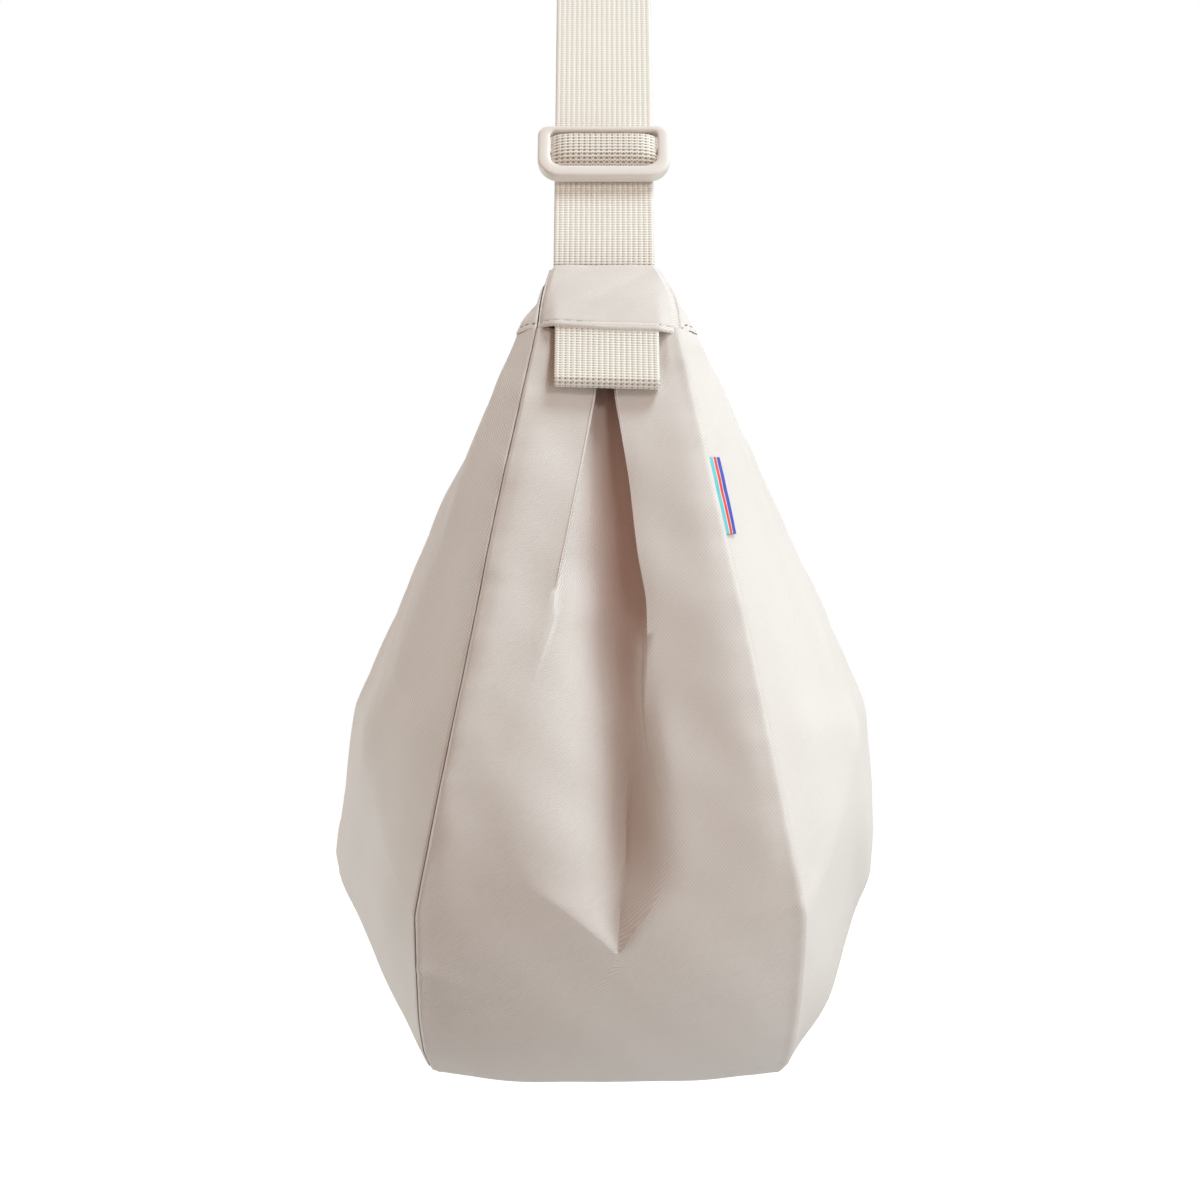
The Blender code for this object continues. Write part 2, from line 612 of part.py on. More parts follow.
def add_ring(plastic, webbing):
    """Rectangular ring that the strap passes through, and the loop that holds it in the right cap."""
    bar_turn = RING_BAR_RADIUS + GAP + WEBBING_THICKNESS / 2
    half = RING_WIDTH / 2 - RING_BAR_RADIUS
    corner = 1.5 * RING_BAR_RADIUS
    low, high = RING_FROM_EXIT, RING_FROM_EXIT + RING_PITCH
    outline = []
    for y0, s0, start in ((half, high, 0), (-half, high, 90), (-half, low, 180), (half, low, 270)):
        for turn in np.radians(np.linspace(start, start + 90, 4)):
            y = y0 - math.copysign(corner, y0) + corner * math.cos(turn)
            s = s0 - math.copysign(corner, s0 - (low + high) / 2) + corner * math.sin(turn)
            outline.append((y, s))
    sides = 8
    points = []
    for i, (y, s) in enumerate(outline):
        before, after = outline[i - 1], outline[(i + 1) % len(outline)]
        ahead = np.array([after[0] - before[0], after[1] - before[1]])
        ahead /= np.linalg.norm(ahead)
        for turn in np.linspace(0, 2 * math.pi, sides, endpoint=False):
            out = RING_BAR_RADIUS * math.cos(turn)
            n = -bar_turn + RING_BAR_RADIUS * math.sin(turn)
            x, z = run_place(1, s - ahead[0] * out, n)
            points.append((x, y + ahead[1] * out, z))
    count = len(outline)
    faces = []
    for i in range(count):
        for k in range(sides):
            a, b = i * sides + k, i * sides + (k + 1) % sides
            c, d = (i + 1) % count * sides + (k + 1) % sides, (i + 1) % count * sides + k
            faces.append((a, b, c, d))
    add_solid("strap_ring", points, faces, plastic, smooth=True)

    leg = LAYER_STEP / 2
    bottom = level(STRAP_IN_CAP)
    mouth = STRAP_START / 3
    inner = [(STRAP_EXIT_X - leg, bottom), (STRAP_EXIT_X - leg, level(mouth)), run_place(1, mouth, -2 * leg)]
    outer = [run_place(1, mouth, 0.0), (STRAP_EXIT_X + leg, level(mouth)), (STRAP_EXIT_X + leg, bottom)]
    loop = []
    for turn in np.linspace(math.pi, 0, 9):
        around = (RING_FROM_EXIT + bar_turn * math.sin(turn), -bar_turn + bar_turn * math.cos(turn))
        loop.append(run_place(1, *around))
    path = inner + loop + outer
    add_ribbon("ring_holder", path, WEBBING_WIDTH, WEBBING_THICKNESS, webbing, (0, 0, PIVOT_Z))


def slider_frame():
    """Where the strap slider stands: its middle, its direction along the strap and outwards."""
    x, z = run_place(-1, SLIDER_FROM_EXIT, 0.0)
    along = np.array([math.sin(STRAP_LEAN), 0.0, math.cos(STRAP_LEAN)])
    out = np.array([-math.cos(STRAP_LEAN), 0.0, math.sin(STRAP_LEAN)])
    return np.array([x, 0.0, z]), along, out


def slider_outline(half_width, half_length, corner):
    """Octagon with cut corners, one point per bend, as (y, s) pairs."""
    a, b = half_width, half_length
    return [
        (a, -b + corner), (a, b - corner), (a - corner, b), (-a + corner, b),
        (-a, b - corner), (-a, -b + corner), (-a + corner, -b), (a - corner, -b),
    ]


def add_strap_slider(plastic, webbing):
    middle, along, out = slider_frame()
    back = 1.5 * WEBBING_THICKNESS + 2 * GAP
    front = back + SLIDER_DEPTH
    outer = slider_outline(SLIDER_WIDTH / 2, SLIDER_LENGTH / 2, SLIDER_CORNER)
    window_half = SLIDER_WIDTH / 2 - SLIDER_LIMB
    window_length = SLIDER_LENGTH / 2 - SLIDER_RAIL
    window = slider_outline(window_half, window_length, WINDOW_CORNER)
    width_way = np.array([0.0, 1.0, 0.0])

    def place(y, s, n):
        return middle + width_way * y + along * s + out * n

    points = []
    for n in (back, front):
        points += [place(y, s, n) for y, s in outer]
        points += [place(y, s, n) for y, s in window]
    faces = []
    for i in range(8):
        j = (i + 1) % 8
        faces.append((16 + i, 16 + j, 24 + j, 24 + i))
        faces.append((j, i, 8 + i, 8 + j))
        faces.append((i, j, 16 + j, 16 + i))
        faces.append((8 + j, 8 + i, 24 + i, 24 + j))
    frame = add_solid("strap_slider", points, faces, plastic, tuple(middle))

    reach = window_half + SLIDER_LIMB / 2
    low, high = back, back + SLIDER_BAR_DEPTH
    corners = [
        place(y, s, n)
        for y in (-reach, reach)
        for s in (-SLIDER_BAR / 2, SLIDER_BAR / 2)
        for n in (low + SLIDER_BAR_STEP, high)
    ]
    bar = add_solid("strap_slider_bar_helper", corners, BOX_FACES, plastic, tuple(middle))
    bar.hide_render = True
    bar.display_type = "WIRE"
    union = frame.modifiers.new("bar", "BOOLEAN")
    union.operation = "UNION"
    union.object = bar

    tuck = window_length + SLIDER_RAIL / 2
    rest_n = WEBBING_THICKNESS + GAP
    rise = high + GAP + WEBBING_THICKNESS - rest_n
    hump = window_length - WEBBING_THICKNESS / 2
    shares = np.linspace(-1, 1, HUMP_STEPS)
    wrap = [(-tuck, rest_n)]
    wrap += [(share * hump, rest_n + rise * (1 - abs(share) ** HUMP_POWER)) for share in shares]
    wrap += [(tuck, rest_n)]
    path = [run_place(-1, SLIDER_FROM_EXIT + s, n) for s, n in wrap]
    add_ribbon("strap_slider_wrap", path, WEBBING_WIDTH, WEBBING_THICKNESS, webbing, tuple(middle))


def add_zip(tape, metal):
    top = level(ZIP_DEPTH)
    edge = ZIP_HALF - GAP / 2
    tape_end = ZIP_END_X - GAP
    chain_left = ZIP_END_X - CHAIN_FROM_LEFT_END
    chain_right = ZIP_END_X - CHAIN_FROM_RIGHT_END
    pivot = (0, 0, PIVOT_Z)
    for name, side in (("zip_tape_front", -1), ("zip_tape_back", 1)):
        chain_outer = CHAIN_HALF_GAP + CHAIN_WIDTH
        low_y, high_y = sorted((side * CHAIN_HALF_GAP, side * edge))
        low_c, high_c = sorted((side * CHAIN_HALF_GAP, side * chain_outer))
        strip = ((-tape_end, low_y, top - TAPE_THICKNESS), (tape_end, high_y, top))
        teeth = ((-chain_left, low_c, top - TAPE_THICKNESS / 2), (chain_right, high_c, top + CHAIN_HEIGHT))
        add_fused(name, [strip, teeth], tape, pivot)
    for name, end, chain in (("zip_left_stop", -1, chain_left), ("zip_right_stop", 1, chain_right)):
        start = chain + GAP
        low_x, high_x = sorted((end * start, end * (start + STOP_LENGTH)))
        half = CHAIN_HALF_GAP + CHAIN_WIDTH
        stop = ((low_x, -half, top + GAP), (high_x, half, top + CHAIN_HEIGHT + GAP))
        add_fused(name, [stop], metal, pivot)

    x = chain_right - ZIP_SLIDER_LENGTH / 2 - GAP
    half_x = ZIP_SLIDER_LENGTH / 2
    inner = CHAIN_HALF_GAP + CHAIN_WIDTH + ZIP_SLIDER_PLAY
    outer = inner + ZIP_SLIDER_WALL
    roof = top + CHAIN_HEIGHT + ZIP_SLIDER_PLAY
    roof_top = roof + ZIP_SLIDER_WALL
    floor_top = top - TAPE_THICKNESS - GAP
    floor = floor_top - ZIP_SLIDER_WALL
    lap = ZIP_SLIDER_WALL / 5
    post = CHAIN_HALF_GAP - GAP
    pin_space = PULLER_PIN + 2 * GAP
    bail_roof = roof_top + pin_space
    bail_top = bail_roof + BAIL_LIMB
    half_bail = BAIL_WIDTH / 2
    boxes = [
        ((x - half_x, -outer, roof), (x + half_x, outer, roof_top)),
        ((x - half_x, -outer, floor), (x + half_x, outer, floor_top)),
        ((x - half_x, -outer, top + GAP), (x + half_x, -inner, roof + lap)),
        ((x - half_x, inner, top + GAP), (x + half_x, outer, roof + lap)),
        ((x + half_x - ZIP_POST_LENGTH, -post, floor_top - lap), (x + half_x, post, roof + lap)),
    ]
    for sign in (-1, 1):
        low_x, high_x = sorted((x + sign * BAIL_LENGTH / 2, x + sign * (BAIL_LENGTH / 2 - BAIL_LIMB)))
        boxes.append(((low_x, -half_bail, roof_top - lap), (high_x, half_bail, bail_top)))
    bridge = BAIL_LENGTH / 2 - lap
    boxes.append(((x - bridge, -half_bail, bail_roof), (x + bridge, half_bail, bail_top)))
    add_fused("zip_slider", boxes, metal, (x, 0, top))

    pin_z = roof_top + GAP + PULLER_PIN / 2
    pin = PULLER_PIN / 2
    window = BAIL_LENGTH / 2 + 3 * GAP
    hole_half = half_bail + GAP
    limb = hole_half + PULLER_LIMB
    low_z, high_z = pin_z - PULLER_THICKNESS / 2, pin_z + PULLER_THICKNESS / 2
    boxes = [
        ((x - pin, -limb, low_z), (x + pin, limb, high_z)),
        ((x - window - pin, -limb, low_z), (x, -hole_half, high_z)),
        ((x - window - pin, hole_half, low_z), (x, limb, high_z)),
        ((x - PULLER_LENGTH, -PULLER_WIDTH / 2, low_z), (x - window, PULLER_WIDTH / 2, high_z)),
    ]
    add_fused("zip_puller", boxes, metal, (x, 0, pin_z))


def main():
    clear_scene()
    shell = finish("shell_fabric", (0.76, 0.70, 0.65), 0.75)
    lining = finish("lining_fabric", (0.62, 0.57, 0.52), 0.80)
    webbing = finish("webbing", (0.74, 0.68, 0.62), 0.85)
    plastic = finish("buckle_plastic", (0.77, 0.69, 0.64), 0.50)
    tape = finish("zip_tape", (0.70, 0.64, 0.59), 0.70)
    metal = finish("zip_metal", (0.74, 0.68, 0.63), 0.35, 0.6)
    ribbon = finish("tag_ribbon", (0.10, 0.35, 0.60), 0.60)
    add_body_fabric(shell, lining)
    add_side_tag(ribbon)
    for place, end in (("left", -1), ("right", 1)):
        add_cap_face(f"{place}_cap_face", end, shell)
        add_cap_side(f"{place}_cap_front", end, -1, shell)
        add_cap_side(f"{place}_cap_back", end, 1, shell)
        add_end_tab(f"{place}_end_tab", end, webbing)
    add_strap(webbing)
    add_strap_end(webbing)
    add_ring(plastic, webbing)
    add_strap_slider(plastic, webbing)
    add_zip(tape, metal)


main()
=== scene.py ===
# %% [markdown]
# # A crossbody bag of oat-white twill, hung by its webbing strap
# The bag is a slouchy crescent: two side panels, and one long gusset strip that runs down one
# end, under the base and up the other end. Each end of the strip has an inverted pleat, which
# lets the stuffed bag swell. Two small caps close the ends round a 38 mm webbing strap.
# We dress a finished CAD model here. It has the right sizes and joints, and each soft piece
# gets a fuller shape in the same place.

import math

import bpy
import mathutils
import numpy as np
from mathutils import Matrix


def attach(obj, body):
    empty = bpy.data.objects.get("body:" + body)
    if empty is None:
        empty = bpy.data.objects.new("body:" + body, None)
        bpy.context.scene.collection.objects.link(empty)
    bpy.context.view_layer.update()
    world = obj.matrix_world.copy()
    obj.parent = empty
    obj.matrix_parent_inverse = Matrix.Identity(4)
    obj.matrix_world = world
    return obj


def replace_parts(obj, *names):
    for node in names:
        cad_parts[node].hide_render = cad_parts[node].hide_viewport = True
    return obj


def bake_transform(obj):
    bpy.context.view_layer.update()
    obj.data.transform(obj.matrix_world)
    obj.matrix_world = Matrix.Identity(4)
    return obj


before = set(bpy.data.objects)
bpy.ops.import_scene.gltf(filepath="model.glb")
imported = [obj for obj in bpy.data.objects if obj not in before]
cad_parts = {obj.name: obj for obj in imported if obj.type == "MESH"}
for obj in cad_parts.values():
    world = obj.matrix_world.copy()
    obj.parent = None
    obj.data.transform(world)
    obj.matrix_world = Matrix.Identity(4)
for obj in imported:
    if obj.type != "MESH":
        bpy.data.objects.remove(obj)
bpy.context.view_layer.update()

# %% [markdown]
# ## Camera
# The photographer stood at one end of the bag, level with its upper half. A longer lens keeps
# the near end from looking swollen. The camera looks along +X, so the bag's front is on the right.

# %% Place the camera
LENS, SENSOR_WIDTH, CAMERA_PLACE = 64.11, 36.0, (-0.972, 0.0015, -0.381)


def add_object(name, data):
    """Object in the scene for a mesh, a lamp or a camera."""
    piece = bpy.data.objects.new(name, data)
    bpy.context.scene.collection.objects.link(piece)
    return piece


camera_data = bpy.data.cameras.new("photo_camera")
camera_data.lens, camera_data.sensor_width = LENS, SENSOR_WIDTH
camera = add_object("photo_camera", camera_data)
camera.location = CAMERA_PLACE
camera.rotation_euler = (math.pi / 2, 0, -math.pi / 2)
bpy.context.scene.camera = camera
print("camera looks from", tuple(round(value, 3) for value in camera.location))

# %% [markdown]
# ## Sizes
# All sizes are in metres. Depths are measured down from the level where the strap leaves the caps.

# %% Sizes of the bag and strap
GAP = 0.0003
HALF_LENGTH, HEIGHT = 0.235, 0.322
BELLY_HALF, BELLY_DEPTH = 0.118, 0.2237
BASE_HALF, BASE_FLAT = 0.068, 0.040
CORNER_POWER, END_CURVE_POWER = 2.5, 1.7
WIDEST_DEPTH, FULL_GUSSET_DEPTH = 0.190, 0.235
END_BULGE, BULGE_POWER, MIDDLE_ROUND = 0.17, 0.9, 0.25
SHELL, LINING, LINING_GAP = 0.0016, 0.0008, 0.0007
UPPER_SECTION = ((0, 0), (0.04, 0.20), (0.25, 0.50), (0.75, 0.955), (1, 1))
LOWER_SECTION = ((0, 1), (0.15, 0.975), (0.35, 0.78), (0.70, 0.42), (0.88, 0.18), (1, 0))
CAP_TOP_X, CAP_SEAM_X, CAP_SEAM_DEPTH = 0.1712, 0.190, 0.025
CAP_SEAM_HALF, CAP_TOP_HALF, CAP_SLOT, CAP_BACK_CORNER = 0.026, 0.0204, 0.0092, 0.0045
WEBBING, WEBBING_WIDTH, RIBS, PICK, LEAN = 0.0014, 0.038, 19, 0.00115, math.radians(28)
STRAP_EXIT_X, CROWN_RADIUS, STRAP_START, STRAP_IN_CAP = 0.1672, 0.047, 0.012, 0.020
ZIP_HALF, ZIP_DEPTH, ZIP_END_X = 0.0130, 0.0300, 0.1500
LAYER_STEP = WEBBING + GAP
OUTER_CROWN = CROWN_RADIUS + 1.5 * WEBBING + GAP
INNER_CROWN = CROWN_RADIUS + 0.5 * WEBBING
CROWN_RISE = (STRAP_EXIT_X * math.cos(LEAN) - OUTER_CROWN) / math.sin(LEAN)
EXIT_Z = -CROWN_RADIUS - CROWN_RISE
RUN_LENGTH = math.hypot(
    STRAP_EXIT_X - OUTER_CROWN * math.cos(LEAN), CROWN_RISE + OUTER_CROWN * math.sin(LEAN)
)
print("strap leaves the caps at z =", round(EXIT_Z, 4), "and each run is", round(RUN_LENGTH, 4))

# %% [markdown]
# ## Meshes from grids
# Cloth is easiest to shape as a grid of points: we choose where each row and column goes, and
# a fold is just a place where the columns turn back. A sheet gets a second grid for its inner
# face, and a rim that joins the two, so it is closed. Each point keeps its place along the cloth
# in metres as its UV, so that a weave follows the folds.


# %% Helpers that build a mesh
def finished_mesh(name, points, faces, uv, material, sharp=65):
    """Mesh object from arrays, its faces turned outwards, smooth except at corners."""
    points = np.asarray(points, float)
    centred = points - points.mean(axis=0)
    volume = 0.0
    for face in faces:
        corners = centred[face]
        for i in range(1, corners.shape[-2] - 1):
            cross = np.cross(corners[..., i, :], corners[..., i + 1, :])
            volume += float((corners[..., 0, :] * cross).sum())
    if volume < 0:
        faces = [face[..., ::-1] for face in faces]
    loops = [loop for face in faces for loop in np.atleast_2d(face).tolist()]
    mesh = bpy.data.meshes.new(name)
    mesh.from_pydata(points.tolist(), [], loops)
    layer = mesh.uv_layers.new(name="cloth")
    order = np.zeros(len(mesh.loops), np.int32)
    mesh.loops.foreach_get("vertex_index", order)
    layer.data.foreach_set("uv", np.asarray(uv, np.float32)[order].ravel())
    mesh.materials.append(material)
    mesh.shade_smooth()
    mesh.set_sharp_from_angle(angle=math.radians(sharp))
    return add_object(name, mesh)


def sheet(name, outer, inner, uv, material, sharp=65):
    """Closed sheet between two grids of the same size."""
    rows, columns = outer.shape[:2]
    index = np.arange(rows * columns).reshape(rows, columns)
    front = np.stack([index[:-1, :-1], index[:-1, 1:], index[1:, 1:], index[1:, :-1]], -1).reshape(-1, 4)
    ring = np.concatenate([index[0, :-1], index[:-1, -1], index[-1, :0:-1], index[:0:-1, 0]])
    ahead = np.roll(ring, -1)
    rim = np.stack([ahead, ring, ring + index.size, ahead + index.size], -1)
    faces = [front, front[:, ::-1] + index.size, rim]
    points = np.concatenate([outer.reshape(-1, 3), inner.reshape(-1, 3)])
    return finished_mesh(name, points, faces, np.tile(uv.reshape(-1, 2), (2, 1)), material, sharp)


def loft(name, rings, uv, material, closed=False):
    """Solid through rings of points. Its ends are filled, unless it closes on itself. uv may be None."""
    count, around = rings.shape[:2]
    uv = np.zeros((count, around, 2)) if uv is None else uv
    index = np.arange(count * around).reshape(count, around)
    ahead = np.roll(index, -1, axis=1)
    if closed:
        nearer, further = index, np.roll(index, -1, axis=0)
        nearer_ahead, further_ahead = ahead, np.roll(ahead, -1, axis=0)
    else:
        nearer, further, nearer_ahead, further_ahead = index[:-1], index[1:], ahead[:-1], ahead[1:]
    faces = [np.stack([nearer, nearer_ahead, further_ahead, further], -1).reshape(-1, 4)]
    if not closed:
        faces += [index[:1, ::-1], index[-1:]]
    return finished_mesh(name, rings.reshape(-1, 3), faces, uv.reshape(-1, 2), material)


def run_along(points, axis):
    """Length along one axis of a grid of points, from 0."""
    steps = np.linalg.norm(np.diff(points, axis=axis), axis=-1)
    start = np.zeros_like(np.take(steps, [0], axis=axis))
    return np.concatenate([start, np.cumsum(steps, axis=axis)], axis=axis)


def unit(vectors):
    return vectors / np.maximum(np.linalg.norm(vectors, axis=-1, keepdims=True), 1e-12)


def stack(*parts):
    """Join coordinates, which may be grids or single numbers, into points."""
    return np.stack(np.broadcast_arrays(*parts), axis=-1)


def net(rows, columns):
    """Two grids: each row's place, and each column's."""
    return np.meshgrid(rows, columns, indexing="ij")


def circle(points):
    """Angles round a circle, which starts and doesn't end there."""
    return np.linspace(0, 2 * math.pi, points, endpoint=False)


def outwards(outline):
    """Outward directions at the points of a closed outline."""
    ahead = unit(np.roll(outline, -1, axis=0) - np.roll(outline, 1, axis=0))
    return stack(ahead[:, 1], -ahead[:, 0])


def frame_places(outer, inner, section):
    """Places across a frame between two outlines, for a section that runs from -1 to 1."""
    middle = (outer + inner) / 2
    return middle[:, None, :] + (outer - middle)[:, None, :] * section[None, :, None]


def paint(piece, name, values):
    """Keep one value for each point of a sheet's outer grid, and the same for its inner one."""
    mask = piece.data.attributes.new(name, "FLOAT", "POINT")
    mask.data.foreach_set("value", np.tile(np.asarray(values, np.float32).ravel(), 2))


def dress(piece, body, node):
    """Let a piece ride a body and stand for a node of the CAD model."""
    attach(piece, body)
    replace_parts(piece, node)
    return piece


def wander(place, seed, octaves=3):
    """Smooth value that wanders between about -1 and 1, the same in every run."""
    phases = np.random.default_rng(seed).uniform(0, 2 * math.pi, octaves)
    rates = 1.9 ** np.arange(octaves)
    waves = [np.sin(2 * math.pi * place * rate + phase) / rate for rate, phase in zip(rates, phases)]
    return sum(waves) / sum(1 / rates)


def ramp(value, low, high):
    """0 below low, 1 above high, and smooth between them."""
    share = np.clip((np.asarray(value, float) - low) / (high - low), 0, 1)
    return share * share * (3 - 2 * share)


def hump(value, low, top, edge, end):
    """0 up to low, 1 from top to edge, 0 again from end on, with smooth sides."""
    return ramp(value, low, top) * (1 - ramp(value, edge, end))


def bell(value, middle, width):
    """1 at the middle, and falls smoothly to 0 on both sides."""
    return np.exp(-(((value - middle) / width) ** 2))


# %% [markdown]
# ## The bag's form
# The gusset's line is drawn in side view: straight down from a cap, round a corner and along the
# flat base. A side panel spans from that line up to the zip, and swells between them. We use the
# same rules as the CAD model, so our finer surfaces lie on its faces.


# %% The rules of the form
def smooth_steps(table, at):
    """Smooth curve through a short table of (place, value) pairs, with no overshoot."""
    pairs = np.array(table, float)
    widths = np.diff(pairs[:, 0])
    slopes = np.diff(pairs[:, 1]) / widths
    tangents = np.concatenate([slopes[:1], np.zeros(len(pairs) - 2), slopes[-1:]])
    for i in range(1, len(pairs) - 1):
        before, after = slopes[i - 1], slopes[i]
        if before * after > 0:
            tangents[i] = 2 * before * after / (before + after)
    at = np.clip(np.asarray(at, float), pairs[0, 0], pairs[-1, 0])
    i = np.clip(np.searchsorted(pairs[:, 0], at, side="right") - 1, 0, len(widths) - 1)
    s = (at - pairs[i, 0]) / widths[i]
    start = (1 + 2 * s) * (1 - s) ** 2 * pairs[i, 1] + s * (1 - s) ** 2 * widths[i] * tangents[i]
    end = s * s * (3 - 2 * s) * pairs[i + 1, 1] + s * s * (s - 1) * widths[i] * tangents[i + 1]
    return start + end


def half_outline():
    """Half of the gusset's line, from the base's middle to a cap: x, depth and length along it."""
    turn = np.linspace(0, math.pi / 2, 240)
    low_x = BASE_FLAT + (HALF_LENGTH - BASE_FLAT) * np.sin(turn) ** (2 / CORNER_POWER)
    low_depth = WIDEST_DEPTH + (HEIGHT - WIDEST_DEPTH) * np.cos(turn) ** (2 / CORNER_POWER)
    high_depth = np.linspace(WIDEST_DEPTH, CAP_SEAM_DEPTH, 160)[1:]
    share = (WIDEST_DEPTH - high_depth) / (WIDEST_DEPTH - CAP_SEAM_DEPTH)
    high_x = HALF_LENGTH - (HALF_LENGTH - CAP_SEAM_X) * share**END_CURVE_POWER
    x = np.concatenate([[0], low_x, high_x])
    depth = np.concatenate([[HEIGHT], low_depth, high_depth])
    return x, depth, np.concatenate([[0], np.cumsum(np.hypot(np.diff(x), np.diff(depth)))])


OUTLINE_X, OUTLINE_DEPTH, OUTLINE_RUN = half_outline()
HALF_RUN = OUTLINE_RUN[-1]


def seam(u):
    """x and depth on the gusset's line, for u from -1 at the left cap to 1 at the right one."""
    run = np.abs(u) * HALF_RUN
    return np.sign(u) * np.interp(run, OUTLINE_RUN, OUTLINE_X), np.interp(run, OUTLINE_RUN, OUTLINE_DEPTH)


def seam_inward(u, step=0.004):
    """Direction (x, z) from the gusset's line into the bag."""
    x0, d0 = seam(np.clip(u - step, -1, 1))
    x1, d1 = seam(np.clip(u + step, -1, 1))
    along = unit(stack(x1 - x0, d0 - d1))
    return -along[..., 1], along[..., 0]


def flat_inward(u):
    """The same direction as a point in space."""
    x, z = seam_inward(u)
    return stack(x, 0.0, z)


def gusset_half(depth):
    """Half the strip's width."""
    share = (depth - CAP_SEAM_DEPTH) / (FULL_GUSSET_DEPTH - CAP_SEAM_DEPTH)
    return CAP_SEAM_HALF + (BASE_HALF - CAP_SEAM_HALF) * np.clip(share, 0, 1)


def middle_bulge(v):
    """How far a panel's middle stands out past a straight line from its seam to the zip."""
    depth = HEIGHT + (ZIP_DEPTH - HEIGHT) * v
    upper = smooth_steps(UPPER_SECTION, np.clip((depth - ZIP_DEPTH) / (BELLY_DEPTH - ZIP_DEPTH), 0, 1))
    lower = smooth_steps(LOWER_SECTION, np.clip((depth - BELLY_DEPTH) / (HEIGHT - BELLY_DEPTH), 0, 1))
    above = ZIP_HALF + (BELLY_HALF - ZIP_HALF) * upper
    below = BASE_HALF + (BELLY_HALF - BASE_HALF) * lower
    return np.where(depth < BELLY_DEPTH, above, below) - (BASE_HALF + (ZIP_HALF - BASE_HALF) * v)


def panel_point(u, v, side):
    """Place on a side panel: u runs from the left cap to the right one, v from the seam to the zip."""
    u, v = np.broadcast_arrays(np.asarray(u, float), np.asarray(v, float))
    x, depth = seam(u)
    half = gusset_half(depth)
    rounded = np.sqrt(u * u + MIDDLE_ROUND**2) - MIDDLE_ROUND
    rounded = rounded / (math.hypot(1, MIDDLE_ROUND) - MIDDLE_ROUND)
    share = END_BULGE + (1 - END_BULGE) * (1 - rounded**BULGE_POWER)
    y = half + (ZIP_HALF - half) * v + middle_bulge(v) * share + GAP / 2
    x = x + (ZIP_END_X * u - x) * v
    depth = depth + (ZIP_DEPTH - depth) * v
    return stack(x, side * y, EXIT_Z - depth)


def panel_inward(u, v, side):
    """Direction from a panel's face to its lining, turned flat against each seam at the edges."""
    u, v = np.broadcast_arrays(np.asarray(u, float), np.asarray(v, float))
    step = 0.01
    right, left = (panel_point(np.clip(u + way, -1, 1), v, side) for way in (step, -step))
    top, bottom = (panel_point(u, np.clip(v + way, 0, 1), side) for way in (step, -step))
    normal = unit(np.cross(right - left, top - bottom))
    inside = np.array([0.0, -side, -0.7])
    normal = normal * np.where((normal * inside).sum(axis=-1, keepdims=True) < 0, -1, 1)
    for edge, near in (
        (np.array([0.0, -side * math.sqrt(0.5), -math.sqrt(0.5)]), 1 - ramp(1 - np.abs(u), 0, 0.04)),
        (np.array([0.0, 0.0, -1.0]), 1 - ramp(1 - v, 0, 0.12)),
        (flat_inward(u), 1 - ramp(v, 0, 0.10)),
    ):
        normal = unit(normal + (edge - normal) * near[..., None])
    return normal


print("gusset strip is", round(2 * HALF_RUN, 3), "m long")

# %% [markdown]
# ## Finishes
# A finish is a graph of small steps. We write a helper for sums, then node groups for what
# several materials share: the twill's diagonal lines, the webbing's ribs and picks, and the
# soft unevenness of cloth. A group only gives tones and heights. The shader itself stays in
# each material.


# %% Helpers for shader graphs
def put(node, label, value):
    """Set a node's input to a value, or link another node's output to it."""
    if isinstance(value, bpy.types.NodeSocket):
        node.id_data.links.new(value, node.inputs[label])
    else:
        node.inputs[label].default_value = value


def calc(operation, *values):
    """Sum of numbers and sockets, in the tree that its first socket belongs to."""
    tree = next(value for value in values if isinstance(value, bpy.types.NodeSocket)).id_data
    node = tree.nodes.new("ShaderNodeMath")
    node.operation = operation
    for number, value in enumerate(values):
        put(node, number, value)
    return node.outputs[0]


def new_group(name, inputs, outputs):
    group = bpy.data.node_groups.new(name, "ShaderNodeTree")
    for label, value in inputs.items():
        kind = "NodeSocketVector" if value is None else "NodeSocketFloat"
        socket = group.interface.new_socket(label, in_out="INPUT", socket_type=kind)
        if value is not None:
            socket.default_value = value
    for label in outputs:
        group.interface.new_socket(label, in_out="OUTPUT", socket_type="NodeSocketFloat")
    return group, group.nodes.new("NodeGroupInput").outputs, group.nodes.new("NodeGroupOutput")


def wave(value):
    """Goes from 0 to 1 and back once for each unit of the value."""
    return calc("MULTIPLY_ADD", calc("SINE", calc("MULTIPLY", value, 2 * math.pi)), 0.5, 0.5)


# %% Twill: slanting ridges, crossed by fainter steps along the yarn
def split_place(group, place):
    node = group.nodes.new("ShaderNodeSeparateXYZ")
    put(node, 0, place)
    return node.outputs["X"], node.outputs["Y"]


twill_inputs = {"Place": None, "Pitch": 0.0007, "Slope": 1.0}
twill, given, made = new_group("twill_weave", twill_inputs, ("Tone", "Height"))
across, along = split_place(twill, given["Place"])
slanted = calc("ADD", across, calc("MULTIPLY", along, given["Slope"]))
ridge = wave(calc("DIVIDE", calc("MULTIPLY", slanted, 0.7071), given["Pitch"]))
step = wave(calc("DIVIDE", along, calc("MULTIPLY", given["Pitch"], 0.7)))
for label, share in (("Tone", 0.8), ("Height", 0.85)):
    put(made, label, calc("MULTIPLY_ADD", ridge, share, calc("MULTIPLY", step, 1 - share)))

